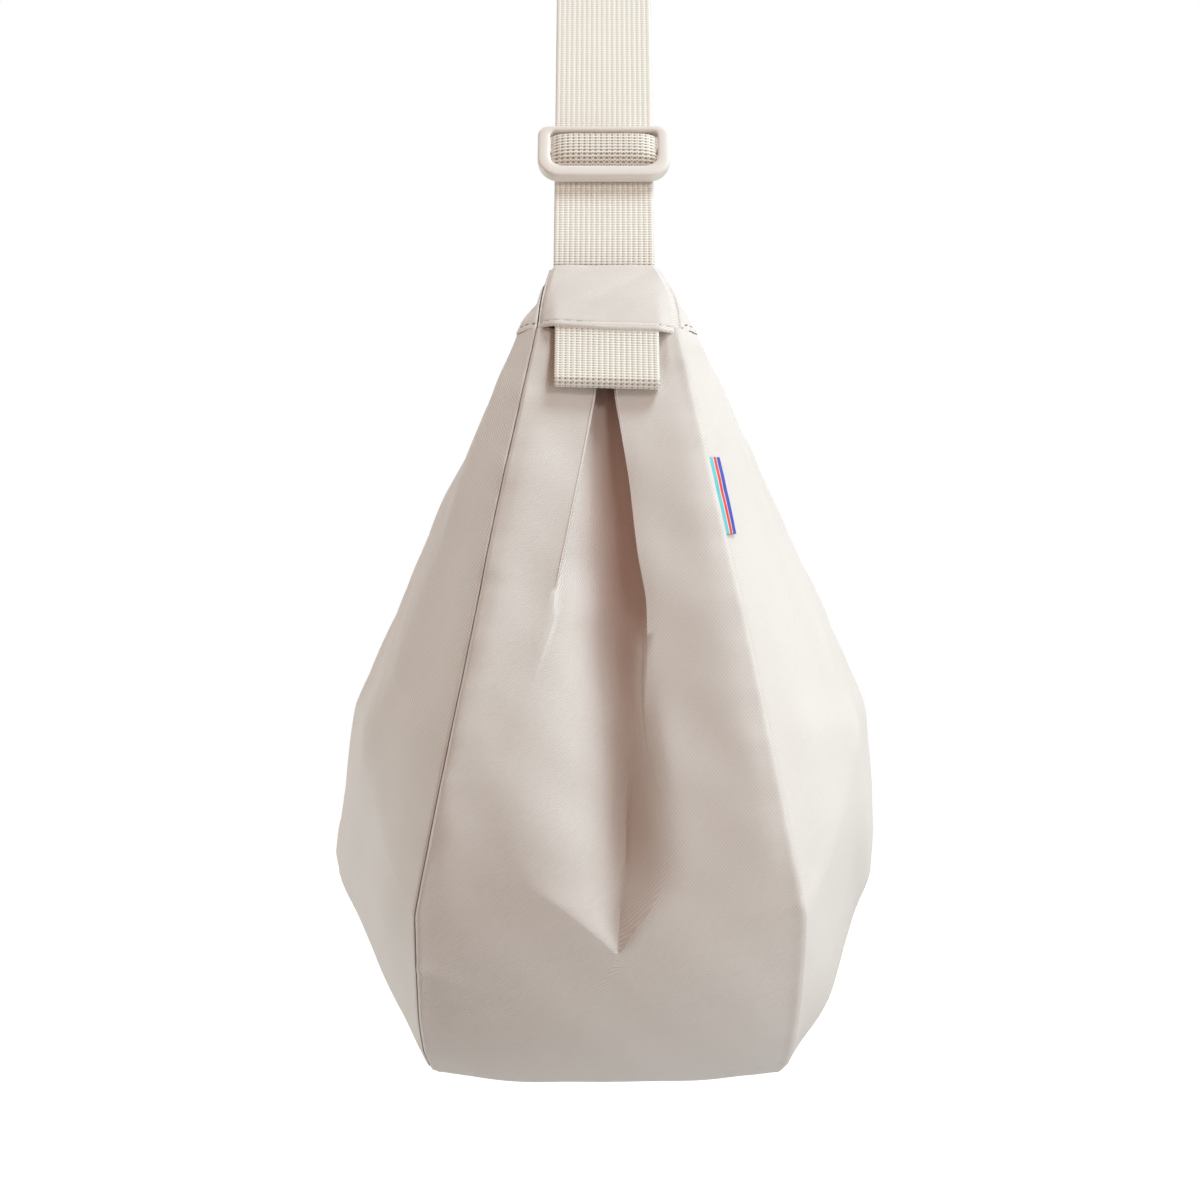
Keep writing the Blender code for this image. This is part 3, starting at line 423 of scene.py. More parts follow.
# %% Webbing: dark holes between the ribs, at the low picks, and faint notches on the ribs
webbing_inputs = {"Place": None, "Rib": WEBBING_WIDTH / RIBS, "Pick": PICK, "Open": 0.0}
webbing_weave, given, made = new_group("webbing_weave", webbing_inputs, ("Gap", "Height"))
across, along = split_place(webbing_weave, given["Place"])
rib = wave(calc("SUBTRACT", calc("DIVIDE", across, given["Rib"]), 0.25))
pick = wave(calc("ADD", calc("DIVIDE", along, given["Pick"]), calc("MULTIPLY", rib, 0.35)))
narrow = calc("MULTIPLY_ADD", given["Open"], -0.5, 3.2)
between = calc("POWER", calc("SUBTRACT", 1.0, rib), narrow)
low_pick = calc("POWER", calc("SUBTRACT", 1.0, pick), 2.6)
holes = calc("MULTIPLY_ADD", between, 0.03, calc("MULTIPLY", between, low_pick))
notches = calc("MULTIPLY", calc("MULTIPLY", calc("POWER", rib, 5.0), calc("POWER", pick, 2.4)), 0.42)
strength = calc("MULTIPLY_ADD", given["Open"], 0.55, 1.0)
put(made, "Gap", calc("MULTIPLY", calc("ADD", holes, notches), strength))
put(made, "Height", calc("MULTIPLY_ADD", rib, 0.45, calc("MULTIPLY", pick, 0.55)))

# %% Mottle: the soft unevenness of anything made
mottle, given, made = new_group("soft_mottle", {"Place": None, "Size": 0.05}, ("Tone",))
noise = mottle.nodes.new("ShaderNodeTexNoise")
scale = calc("DIVIDE", 1.0, given["Size"])
for label, value in (("Detail", 4.0), ("Vector", given["Place"]), ("Scale", scale)):
    put(noise, label, value)
put(made, "Tone", noise.outputs["Fac"])
print("shader groups:", [group.name for group in (twill, webbing_weave, mottle)])


# %% Materials
def new_material(name, roughness, metallic=0.0):
    material = bpy.data.materials.new(name)
    material.use_nodes = True
    tree = material.node_tree
    shader = tree.nodes["Principled BSDF"]
    put(shader, "Roughness", roughness)
    put(shader, "Metallic", metallic)
    return material, tree, shader


def use(group, place, **sizes):
    node = place.id_data.nodes.new("ShaderNodeGroup")
    node.node_tree = group
    for label, value in {"Place": place, **sizes}.items():
        put(node, label, value)
    return node.outputs


def blend_colors(factor, low, high):
    """Colour between two others. Each may be an (r, g, b) or a colour socket."""
    node = factor.id_data.nodes.new("ShaderNodeMix")
    node.data_type = "RGBA"
    put(node, "Factor", factor)
    for number, color in ((6, low), (7, high)):
        put(node, number, color if isinstance(color, bpy.types.NodeSocket) else (*color, 1.0))
    return node.outputs[2]


def bump(shader, height, distance, strength):
    node = shader.id_data.nodes.new("ShaderNodeBump")
    for label, value in (("Strength", strength), ("Distance", distance), ("Height", height)):
        put(node, label, value)
    put(shader, "Normal", node.outputs["Normal"])


def cloth_place(tree):
    node = tree.nodes.new("ShaderNodeUVMap")
    node.uv_map = "cloth"
    return node.outputs["UV"]


def clouds(tree, size):
    """Soft unevenness, whose clouds are as wide as the size."""
    return use(mottle, tree.nodes.new("ShaderNodeTexCoord").outputs["Object"], Size=size)["Tone"]


def twill_material(name, dark, light, pitch, slope=1.0, roughness=0.68):
    """Twill in two tones, with painted shade: warmer and darker where a piece's mask marks the inside of a
    fold.
    """
    material, tree, shader = new_material(name, roughness)
    put(shader, "Sheen Weight", 0.12)
    put(shader, "Sheen Roughness", 0.5)
    weave = use(twill, cloth_place(tree), Pitch=pitch, Slope=slope)
    wide = clouds(tree, 0.06)
    fine = clouds(tree, 0.0016)
    woven = blend_colors(weave["Tone"], dark, light)
    shade = tuple(value * 0.93 for value in dark)
    uneven = calc("MULTIPLY", wide, calc("MULTIPLY", fine, 0.55))
    # Painted shade: this mask darkens and warms the colour inside a fold
    folded = tree.nodes.new("ShaderNodeAttribute")
    folded.attribute_name = "painted_fold_shade"
    even = blend_colors(uneven, woven, shade)
    warm = tuple(value * tint for value, tint in zip(dark, (0.72, 0.50, 0.44)))
    shaded = calc("MULTIPLY", folded.outputs["Fac"], 0.85)
    put(shader, "Base Color", blend_colors(shaded, even, warm))
    bump(shader, weave["Height"], 0.00012, 0.6)
    return material


def webbing_material(name, yarn_color, gap_color):
    """Webbing whose gaps are larger and darker where a piece's mask marks it as bent or stretched; on the
    slider's wrap the mask also carries painted shade.
    """
    material, tree, shader = new_material(name, 0.8)
    put(shader, "Sheen Weight", 0.15)
    bent = tree.nodes.new("ShaderNodeAttribute")
    bent.attribute_name = "open_weave_and_shade"
    weave = use(webbing_weave, cloth_place(tree), Open=bent.outputs["Fac"])
    soft = blend_colors(clouds(tree, 0.02), yarn_color, tuple(value * 0.94 for value in yarn_color))
    put(shader, "Base Color", blend_colors(weave["Gap"], soft, gap_color))
    bump(shader, weave["Height"], 0.00016, 0.7)
    return material


shell_cloth = twill_material("shell_twill", (0.67, 0.60, 0.557), (0.83, 0.767, 0.725), 0.00085)
lining_cloth = twill_material("lining_taffeta", (0.56, 0.51, 0.46), (0.66, 0.61, 0.56), 0.0005, -1.0, 0.55)
webbing_cloth = webbing_material("ribbed_webbing", (0.94, 0.885, 0.81), (0.33, 0.215, 0.145))
tape_cloth = twill_material("zip_tape_weave", (0.60, 0.54, 0.49), (0.74, 0.68, 0.63), 0.0009, 1.0, 0.7)


def mottled_material(name, size, light, dark, roughness, metallic=0.0):
    """Plain finish that is a little uneven, with clouds of the given size. Also returns their tone."""
    material, tree, shader = new_material(name, roughness, metallic)
    tone = clouds(tree, size)
    put(shader, "Base Color", blend_colors(tone, light, dark))
    return material, tree, shader, tone


# Painted shade: the thread is drawn much darker than its real tone, which is close to the cloth's, to stand
# in for the shadow in each stitch's groove
painted_shade_thread, _, shader, _ = mottled_material(
    "sewing_thread_painted_shade", 0.0006, (0.33, 0.265, 0.22), (0.25, 0.20, 0.165), 0.6
)
put(shader, "Sheen Weight", 0.1)

plastic, tree, shader, _ = mottled_material(
    "moulded_plastic", 0.012, (0.83, 0.755, 0.70), (0.79, 0.71, 0.655), 0.42
)
grain = clouds(tree, 0.0005)
put(shader, "Roughness", calc("MULTIPLY_ADD", grain, 0.15, 0.36))
bump(shader, grain, 0.00004, 0.5)

coil = mottled_material("moulded_coil", 0.003, (0.74, 0.68, 0.62), (0.66, 0.60, 0.54), 0.45)[0]

metal, _, shader, tone = mottled_material(
    "painted_metal", 0.004, (0.74, 0.66, 0.60), (0.66, 0.59, 0.53), 0.35, 0.35
)
put(shader, "Roughness", calc("MULTIPLY_ADD", tone, 0.2, 0.25))

# A plain ribbon with lengthwise stripes of unequal width: where each starts, as a share of the width
CREAM = (0.80, 0.74, 0.66)
STRIPES = ((0.0, (0.13, 0.53, 0.58)), (0.38, CREAM), (0.44, (0.76, 0.035, 0.018)), (0.66, CREAM),
           (0.70, (0.030, 0.055, 0.42)))
RIBBON_WIDTH = 0.0050
ribbon, tree, shader = new_material("striped_ribbon", 0.5)
across = split_place(tree, cloth_place(tree))[0]
stripes = tree.nodes.new("ShaderNodeValToRGB")
stripes.color_ramp.interpolation = "CONSTANT"
for number, (place, color) in enumerate(STRIPES):
    stop = stripes.color_ramp.elements[0] if number == 0 else stripes.color_ramp.elements.new(place)
    stop.position, stop.color = place, (*color, 1.0)
stripes.color_ramp.elements.remove(stripes.color_ramp.elements[-1])
put(stripes, "Fac", calc("DIVIDE", across, RIBBON_WIDTH))
satin = use(twill, cloth_place(tree), Pitch=0.0003, Slope=0.2)
sheen = calc("MULTIPLY", satin["Tone"], 0.03)
put(shader, "Base Color", blend_colors(sheen, stripes.outputs["Color"], (0.9, 0.88, 0.85)))
bump(shader, satin["Height"], 0.00006, 0.5)
print("materials:", [material.name for material in bpy.data.materials])

# %% [markdown]
# ## The gusset and its inverted pleat
# The strip is cut wider than the end it covers. At the top the extra cloth is folded behind two
# flaps, and lower down the folds open into one soft hollow that closes at a sharp point. We
# could let a simulation find the folds, but it wouldn't put them where the real ones are. So the
# strip is a grid whose columns are shared out between the back flap, the fold, the hollow's two
# walls, the other fold and the front flap, and tables say where the folds lie at each depth.

# %% The pleat's lines at one end: depth below the strap's exit, and place across the end
BACK_FOLD = ((0.026, 0.0028), (0.0493, 0.0042), (0.0594, 0.0058), (0.0876, 0.0110), (0.1079, 0.0153),
             (0.1269, 0.0203), (0.1421, 0.0258), (0.1594, 0.0330), (0.1765, 0.0391), (0.1910, 0.0418),
             (0.2052, 0.0380), (0.2227, 0.0281), (0.2309, 0.0165), (0.2389, 0.0060), (0.2456, -0.0017))
VALLEY = ((0.026, 0.0002), (0.0734, 0.0002), (0.1146, -0.0012), (0.1525, -0.0030), (0.1693, -0.0050),
          (0.1903, -0.0061), (0.2125, -0.0056), (0.2327, -0.0037), (0.2456, -0.0027))
FRONT_FOLD = ((0.026, -0.0018), (0.0493, -0.0025), (0.0639, -0.0047), (0.0847, -0.0080), (0.1079, -0.0103),
              (0.1283, -0.0130), (0.1421, -0.0131), (0.1594, -0.0125), (0.1697, -0.0130), (0.1834, -0.0156),
              (0.1972, -0.0196), (0.2076, -0.0213), (0.2146, -0.0206), (0.2287, -0.0152), (0.2367, -0.0092),
              (0.2411, -0.0062), (0.2456, -0.0037))
HOLLOW = ((0.026, 0.0070), (0.05, 0.0092), (0.09, 0.0112), (0.127, 0.0128), (0.16, 0.0140), (0.19, 0.0145),
          (0.215, 0.0134), (0.233, 0.0080), (0.2456, 0.0))
PLEAT_POINT = 0.2456
# How a folded edge turns under its flap: distance under it, and distance inwards
TUCK = ((0, 0), (0.0004, 0.0003), (0.0009, 0.0005), (0.0015, 0.0008), (0.0022, 0.0011),
        (0.0034, 0.0017), (0.0042, 0.0025), (0.0034, 0.0033), (0.0002, 0.0040))
FLAP_COLUMNS, WALL_COLUMNS, ROW_STEP, PLEAT_RUN = 22, 14, 0.0021, 0.262
LIP_HEIGHT, LIP_REACH = 0.00025, 0.00025


def rounded_off(y, n, reach):
    """Inward depths averaged over a reach across the strip, where y falls steadily."""
    return np.mean([np.interp(-y - shift, -y, n) for shift in reach * np.linspace(-1, 1, 9)], axis=0)


def gusset_section(depth):
    """Across places and inward depths of the strip's columns, from the back seam to the front one."""
    half = float(gusset_half(depth))
    back, low, front = (float(smooth_steps(table, depth)) for table in (BACK_FOLD, VALLEY, FRONT_FOLD))
    hollow = float(smooth_steps(HOLLOW, depth)) if depth < PLEAT_POINT else 0.0
    tuck = np.array(TUCK)
    walls = []
    soft = float(hump(depth, 0.13, 0.18, 0.205, 0.24))
    # Each wall: its fold, the way it turns, its curve where open, how folded it is, and the fold's form
    for edge, sign, power, folded, tight, steep in (
        (back, 1, 1.45 + 0.55 * soft, 1 - ramp(depth, 0.108, 0.132), 0.85, 0.10),
        (front, -1, 1.15 + 0.95 * soft, 1 - ramp(depth, 0.118, 0.146), 1.0, 0.55),
    ):
        t = np.linspace(0, 1, WALL_COLUMNS + 1)
        # An open wall runs straight from its edge to the valley, whose depth it reaches by a curve
        share = np.concatenate([0.12 * np.linspace(0, 1, len(tuck)), 0.12 + 0.88 * t[1:]])
        open_y = edge + (low - edge) * share
        open_n = hollow * share**power
        # A folded wall turns under its flap first, by the table, and then runs to the valley
        start = tight * tuck[-1, 1] + steep * (hollow - tight * tuck[-1, 1]) * ramp(t[1:], 0.0, 0.3)
        rest = start + (hollow - start) * t[1:] ** (1.2 if sign < 0 else 1.4)
        fold_y = np.concatenate([edge + sign * tuck[:, 0], edge + (low - edge) * t[1:]])
        fold_n = np.concatenate([tight * tuck[:, 1], rest])
        walls.append((open_y + (fold_y - open_y) * folded, open_n + (fold_n - open_n) * folded))
    # The flaps' columns are closest together at the seams, and the front flap rolls in at its fold
    t = 1 - np.cos(np.linspace(0, math.pi / 2, FLAP_COLUMNS + 1))
    back_y, front_y = half + (back - half) * t, -half + (front + half) * t
    puff = 0.0016 * hump(depth, 0.03, 0.09, 0.20, 0.24)
    flap_n = -puff * np.sin(math.pi * np.sqrt(t)) ** 2
    rolled = 0.0013 * hump(depth, 0.05, 0.08, 0.125, 0.150) * (np.exp((front_y - front) / 0.0045) - 1)
    y = np.concatenate([back_y[:-1], walls[0][0], walls[1][0][-2::-1], front_y[-2::-1]])
    n = np.concatenate([flap_n[:-1], walls[0][1], walls[1][1][-2::-1], (flap_n + rolled)[-2::-1]])
    # Soften the valley, then each fold where it has opened, and even the columns out below the point
    inner = slice(FLAP_COLUMNS + len(tuck) - 1, len(y) - FLAP_COLUMNS - len(tuck) + 1)
    n[inner] = rounded_off(y[inner], n[inner], 0.0040 * (1 - ramp(depth, 0.170, 0.205)))
    for fold, *depths in ((front, 0.142, 0.172, 0.222, 0.238), (back, 0.135, 0.155, 0.192, 0.215)):
        opened = hump(depth, *depths)
        if opened > 0:
            n = n + (rounded_off(y, n, 0.0075) - n) * bell(y, fold, 0.013) * opened
    even = half * np.cos(np.linspace(0, math.pi, len(y)))
    y = y + (even - y) * ramp(depth, PLEAT_POINT, 0.300)
    return y, n


def gusset_rows():
    """Shares of the strip's line, close together along the pleats and wider along the base."""
    steps = np.concatenate([np.arange(0, PLEAT_RUN, ROW_STEP), np.arange(PLEAT_RUN, HALF_RUN, 2 * ROW_STEP)])
    point_run = np.interp(PLEAT_POINT, OUTLINE_DEPTH[::-1], HALF_RUN - OUTLINE_RUN[::-1])
    steps = np.unique(np.concatenate([steps, [point_run]]))
    half = 1 - steps / HALF_RUN
    return np.concatenate([-half, half[::-1]])


rows = gusset_rows()
sections = [gusset_section(float(seam(u)[1])) for u in rows]
gusset_y = np.array([y if u < 0 else -y[::-1] for u, (y, n) in zip(rows, sections)])
gusset_n = np.array([n if u < 0 else n[::-1] for u, (y, n) in zip(rows, sections)])
print("gusset grid:", gusset_y.shape)


# %% Lean and corners of the stuffed bag
BASE_CORNER_LIFT = 0.0044


def leaned(points):
    """The whole body sags a little to the front, as it hangs. The zip's chain stays in line."""
    x, depth = np.abs(points[..., 0]), EXIT_Z - points[..., 2]
    low = ramp(depth, 0.03, 0.13)
    shift = (0.0020 - 0.0009 * bell(depth, 0.085, 0.035)) * low * (1 - 0.35 * ramp(depth, 0.24, 0.29))
    shift = shift + 0.0012 * ramp(depth, 0.0, 0.025) * ramp(x, 0.150, 0.185) * (1 - low)
    return points - stack(0.0, shift, 0.0)


def corner_lift(depth):
    """How far the base's edges are drawn up into the bag."""
    return BASE_CORNER_LIFT * ramp(depth, 0.275, 0.322)


# Small tucks that the seams hold: side, depth, height and how high the cloth stands there
SEAM_TUCKS = ((1, 0.2540, 0.0022, 0.0013), (-1, 0.2310, 0.0030, 0.0012), (1, 0.1130, 0.0040, 0.0005),
              (-1, 0.1960, 0.0050, 0.0004))


def pucker(run, side):
    """How far a seam's stitches make both edges stand out, along its run."""
    return 0.0005 * wander(run / 0.030 + 0.3 * side, 11)


def seam_tucks(depth, from_seam, side):
    """Little folds that start at a seam and run out within a few millimetres."""
    tucks = 0.0 * depth * from_seam
    for tuck_side, place, width, height in SEAM_TUCKS:
        fold = bell(depth - 0.25 * from_seam, place, width) * height
        tucks = tucks + fold * np.exp(-from_seam / 0.011) * (np.sign(side) == tuck_side)
    return tucks


# %% Puff the strip out, raise its seam edges and build it
def gusset_surface(y, n, extra):
    """World places on the strip, pushed inwards by n plus extra."""
    u = rows[:, None]
    x, depth = seam(u)
    inward_x, inward_z = seam_inward(u)
    sunk = n + extra
    return stack(x + inward_x * sunk, y, EXIT_Z - depth + inward_z * sunk)


BELLY_SWELL, DRAPE, TAB_HOLLOW = 0.0058, 0.0007, 0.0012
row_depth = seam(rows)[1][:, None]
mirrored = np.where(rows[:, None] < 0, 1, -1)
row_half = gusset_half(row_depth)
from_seam = row_half - np.abs(gusset_y)
belly = BELLY_SWELL * hump(row_depth, 0.13, 0.275, 0.282, 0.320)
puffed = -belly * (1 - (gusset_y / row_half) ** 2)
lip = bell(from_seam, 0.0012, 0.0016) * LIP_HEIGHT
puckers = pucker(rows[:, None] * HALF_RUN, np.sign(gusset_y)) * np.exp(-from_seam / 0.008)
drape = DRAPE * wander(row_depth / 0.11 + gusset_y / 0.13, 5) * ramp(from_seam, 0.0, 0.02)
under_tab = (1 - ramp(np.abs(gusset_y), 0.0190, 0.0220)) * (1 - ramp(row_depth, 0.035, 0.050))
relief = puffed - lip - puckers + drape - seam_tucks(row_depth, from_seam, gusset_y) + TAB_HOLLOW * under_tab
relief = relief + corner_lift(row_depth) * np.abs(gusset_y / row_half) ** 4.2
edge = bell(from_seam, 0, 0.0006)
relief = relief + edge * np.where(gusset_y > 0, 0.0012, 0.0004)
reach = LIP_REACH * bell(from_seam, 0.0010, 0.0010) + 0.0004 * edge * (gusset_y < 0)
reach = reach * np.sign(gusset_y)
gusset_outer = leaned(gusset_surface(gusset_y * (1 - GAP / 2 / row_half) + reach, gusset_n, relief))
normals = unit(np.cross(np.gradient(gusset_outer, axis=1), np.gradient(gusset_outer, axis=0)))
inward = stack(*seam_inward(rows[:, None] + 0 * gusset_y))
facing = normals[..., 0] * inward[..., 0] + normals[..., 2] * inward[..., 1]
normals *= np.sign(np.median(facing))
# The weave runs evenly down the strip: every row gets the same width of cloth
across_run = run_along(gusset_outer, 1)
total = across_run[:, -1:]
column_share = (np.arange(gusset_y.shape[1]) - FLAP_COLUMNS) / (gusset_y.shape[1] - 1 - 2 * FLAP_COLUMNS)
cut_width = float(np.median(total))
across_run = across_run + (cut_width - total) * np.clip(column_share, 0, 1)
gusset_uv = stack(across_run, (rows * HALF_RUN)[:, None])
gusset = sheet("gusset", gusset_outer, gusset_outer + normals * 0.0005, gusset_uv, shell_cloth)
# Painted shade: the cloth inside the pleat is drawn warmer and darker, most of all on its steeper wall
valley_y = mirrored * smooth_steps(VALLEY, row_depth)
past_valley = 1 - ramp((gusset_y - valley_y) * mirrored, -0.0040, 0.0170)
painted_fold_shade = ramp(gusset_n, 0.0012, 0.0060) * past_valley * (1 - 0.52 * ramp(row_depth, 0.105, 0.175))
painted_fold_shade = painted_fold_shade * (1 - ramp(row_depth, 0.20, 0.235))
paint(gusset, "painted_fold_shade", painted_fold_shade)
dress(gusset, "bag", "gusset_panel")
print("gusset faces:", len(gusset.data.polygons))

# %% [markdown]
# ## Side panels
# Each panel is one piece of twill from the gusset's seam up to the zip. A stuffed bag of firm
# cloth doesn't swell evenly: it stands in broad flat facets with soft ridges between them, and
# the seam draws small puckers. Both are added to the smooth form as height over the surface.


# %% Build the panels
# Facets of each panel: depth, and how far the cloth stands out there
BACK_FACETS = ((0.03, 0), (0.084, -0.0010), (0.105, -0.0020), (0.157, -0.0016), (0.171, 0.0004),
               (0.206, -0.0002), (0.220, 0.0004), (0.233, 0.0026), (0.245, 0.0018), (0.26, 0.0006),
               (0.28, -0.0008), (0.305, -0.0020), (0.322, -0.0030))
FRONT_FACETS = ((0.03, 0), (0.05, 0.0012), (0.07, 0.0014), (0.10, -0.0006), (0.12, 0.0), (0.157, 0.0008),
                (0.171, 0.0024), (0.185, 0.0012), (0.206, 0.0006), (0.222, -0.0006), (0.235, -0.0012),
                (0.25, -0.0008), (0.28, 0.0022), (0.305, 0.0016), (0.322, -0.0006))


def panel_relief(u, v, side, length):
    """How far the cloth stands out of the smooth form. length is the distance from the seam."""
    facets = BACK_FACETS if side > 0 else FRONT_FACETS
    depth = EXIT_Z - panel_point(u, v, side)[..., 2]
    facet = np.interp(depth, *np.array(facets).T) * (1 - ramp(np.abs(u), 0.82, 1.0)) * ramp(length, 0, 0.03)
    near = np.exp(-length / 0.010)
    run = u * HALF_RUN
    puckers = near * pucker(run, side)
    folds = 0.0007 * wander(run / 0.13 + v * 0.6, 17 + side) * hump(v, 0.05, 0.3, 0.75, 1.0)
    gathers = 0.0005 * wander(run / 0.045 + v * 0.9, 23 + side) * hump(v, 0.45, 0.8, 0.9, 1.0)
    gathers = gathers * (1 - ramp(np.abs(u), 0.9, 1.0))
    return facet + puckers + folds * (1 - ramp(np.abs(u), 0.93, 1.0)) + gathers


def panel_surface(u, v, side, length):
    """Places on the finished panel, and the direction to its lining."""
    inward = panel_inward(u, v, side)
    groove = (0.0009 if side > 0 else 0.0004) * np.clip(1 - length / 0.0026, 0, 1) ** 2
    groove = groove + corner_lift(seam(u)[1]) * (1 - ramp(length, 0, 0.05))
    tucks = seam_tucks(seam(u)[1], length, side)
    outer = panel_point(u, v, side) - inward * (panel_relief(u, v, side, length) + tucks)[..., None]
    return leaned(outer + flat_inward(u) * groove[..., None]), inward


def build_panel(name, side):
    """One panel as a sheet, whose rows are closest together at the seam and at the zip."""
    even = np.linspace(-1, 1, 281)
    v = 1 - np.linspace(1, 0, 90) ** 1.15
    near_seam = [*(v[1] * np.array([0.12, 0.25, 0.4, 0.6, 0.8])), v[2] * 0.75]
    u, v = net(np.sign(even) * np.abs(even) ** 0.92, np.unique(np.concatenate([v, near_seam])))
    length = run_along(panel_point(u, v, side), 1)
    outer, inward = panel_surface(u, v, side, length)
    inner = outer + inward * (SHELL * (1 - 0.6 * np.exp(-length / 0.004)))[..., None]
    middle = panel_point(0.0, np.linspace(0, 1, 200), side)
    drop = run_along(middle[::-1], 0)
    fall = np.interp(-panel_point(u, v, side)[..., 2], -middle[::-1, 2], drop)
    uv = stack(panel_point(u, v, side)[..., 0] * side, fall)
    return dress(sheet(f"{name}_side", outer, inner, uv, shell_cloth), "bag", f"{name}_panel")


for panel_name, panel_side in (("front", -1), ("back", 1)):
    panel = build_panel(panel_name, panel_side)
    print(panel.name, "faces:", len(panel.data.polygons))

# %% [markdown]
# ## Linings and inner pocket
# The lining is a second bag inside the first, sewn to it at the seams and the zip. It follows
# the panels a little further in. The gusset's lining passes behind the pleat without its folds.


# %% Build the linings
def build_lining(name, node, side, start, thickness, lengths=(-1, 1), heights=(0, 1)):
    """Sheet that starts a little inside a panel, over a range of its length and of its height."""
    u, v = net(np.linspace(*lengths, 121), np.linspace(*heights, 61))
    inward = panel_inward(u, v, side)
    sag = 0.0035 * hump(v, 0.05, 0.2, 0.8, 0.98) * (1 - ramp(np.abs(u), 0.8, 0.95))
    outer = leaned(panel_point(u, v, side) + inward * (start + sag)[..., None])
    outer[..., 2] += corner_lift(seam(u)[1]) * (1 - ramp(v, 0, 0.2))
    uv = stack(run_along(outer, 0), run_along(outer, 1))
    dress(sheet(name, outer, outer + inward * thickness, uv, lining_cloth), "bag", node)


LINING_START = SHELL + LINING_GAP
build_lining("front_lining_cloth", "front_lining", -1, LINING_START, LINING)
build_lining("back_lining_cloth", "back_lining", 1, LINING_START, LINING)
build_lining("pocket_cloth", "inner_pocket", 1, LINING_START + LINING + GAP, 0.0006, (-0.3, 0.3), (0.45, 0.8))

# The gusset's lining stays behind the deepest fold near each of its points
lining_y = np.stack([np.linspace(half, -half, 41) for half in row_half[:, 0] - GAP], axis=0)
lining_n = np.zeros_like(lining_y)
for number, u in enumerate(rows):
    order = np.argsort(gusset_y[number])
    columns, depths = gusset_y[number][order], np.maximum(gusset_n[number][order], 0)
    shifted = [lining_y[number] + shift for shift in (-0.004, -0.002, 0, 0.002, 0.004)]
    lining_n[number] = np.max([np.interp(y, columns, depths) for y in shifted], axis=0)
edge = ramp(row_half - np.abs(lining_y), 0, 0.006)
drawn = LINING_START + 0.0006 * edge + corner_lift(row_depth) * np.abs(lining_y / row_half) ** 3.5
lining_outer = leaned(gusset_surface(lining_y, lining_n * edge, drawn))
lining_inner = leaned(gusset_surface(lining_y, lining_n * edge, drawn + LINING))
lining_uv = stack(lining_y, rows[:, None] * HALF_RUN)
gusset_inside = sheet("gusset_lining_cloth", lining_outer, lining_inner, lining_uv, lining_cloth)
dress(gusset_inside, "bag", "gusset_lining")
print("lining grid:", lining_y.shape)

# %% [markdown]
# ## Webbing
# Strap webbing is a thick ribbon with ribs along it and a row of picks across it every 1.15 mm.
# The ribs are real height here. So are the picks on the short pieces and on the strap's near end,
# which are seen from close by. Elsewhere the finish draws them.


# %% Webbing along a path
RIB_DEPTH, TIGHT_WEAVE = 0.00008, -0.35


def resampled(path, step, fine):
    """The same path in even steps, which are four to a pick up to the length fine."""
    path = np.asarray(path, float)
    run = np.concatenate([[0], np.cumsum(np.linalg.norm(np.diff(path, axis=0), axis=1))])
    fine = min(fine, run[-1])
    places = np.linspace(0, fine, max(2, round(fine / (PICK / 4)) + 1)) if fine else np.zeros(1)
    if fine < run[-1]:
        count = max(3, round((run[-1] - fine) / step) + 1)
        places = np.concatenate([places, np.linspace(fine, run[-1], count)[1:]])
    return stack(*(np.interp(places, run, path[:, k]) for k in range(2))), places


def webbing(name, path, step, picks=0.0, fine=0.0, start=0.0, opened=0.0,
            width=WEBBING_WIDTH, ribs=RIBS, pitch=PICK):
    """Ribbed ribbon along a path of (x, z) points, its width along Y.

    The picks have real height up to the length fine. The finish draws them from the length start,
    at a pitch, and with more or less open gaps.
    """
    path, run = resampled(path, step, fine)
    steps = unit(np.gradient(path, axis=0))
    normal = stack(-steps[:, 1], steps[:, 0])
    y = np.linspace(-width / 2, width / 2, 4 * ribs + 1)
    rib = np.abs(np.sin(math.pi * (y + width / 2) / width * ribs)) ** 0.7
    pick = np.sin(2 * math.pi * ((run[:, None] + start) / pitch + 0.35 * rib[None, :] ** 2))
    real_picks = picks * (1 - ramp(run, fine - 0.004, fine) * (fine < run[-1]))[:, None]
    half = WEBBING / 2 - RIB_DEPTH * (1 - rib)[None, :] + real_picks * pick
    half = half * (1 - 0.35 * np.exp(-(width / 2 - np.abs(y)) / 0.0004))[None, :]
    grids = []
    for sign in (1, -1):
        place = path[:, None, :] + normal[:, None, :] * (sign * half)[..., None]
        grids.append(stack(place[..., 0], y, place[..., 1]))
    across = (y[None, :] / width + 0.5) * WEBBING_WIDTH
    uv = stack(across, (run[:, None] + start) * PICK / pitch)
    piece = sheet(name, grids[0], grids[1], uv, webbing_cloth, 80)
    turning = np.linalg.norm(np.gradient(steps, axis=0), axis=1) / np.maximum(np.gradient(run), 1e-9)
    bends = np.repeat(ramp(turning, 30, 200)[:, None], len(y), axis=1).astype(np.float32)
    paint(piece, "open_weave_and_shade", opened + bends)
    return piece


def run_place(end, s, n):
    """(x, z) on a straight run of the strap: s up from the cap, and n outwards."""
    x = STRAP_EXIT_X - s * math.sin(LEAN) + n * math.cos(LEAN)
    return end * x, EXIT_Z + s * math.cos(LEAN) + n * math.sin(LEAN)


def crown_arc(radius, first, last):
    """Points over the crown, from one run (-1 or 1) to the other."""
    reach = math.pi / 2 - LEAN
    turns = np.linspace(first * reach, last * reach, 61)
    return [(radius * math.sin(turn), -CROWN_RADIUS + radius * math.cos(turn)) for turn in turns]


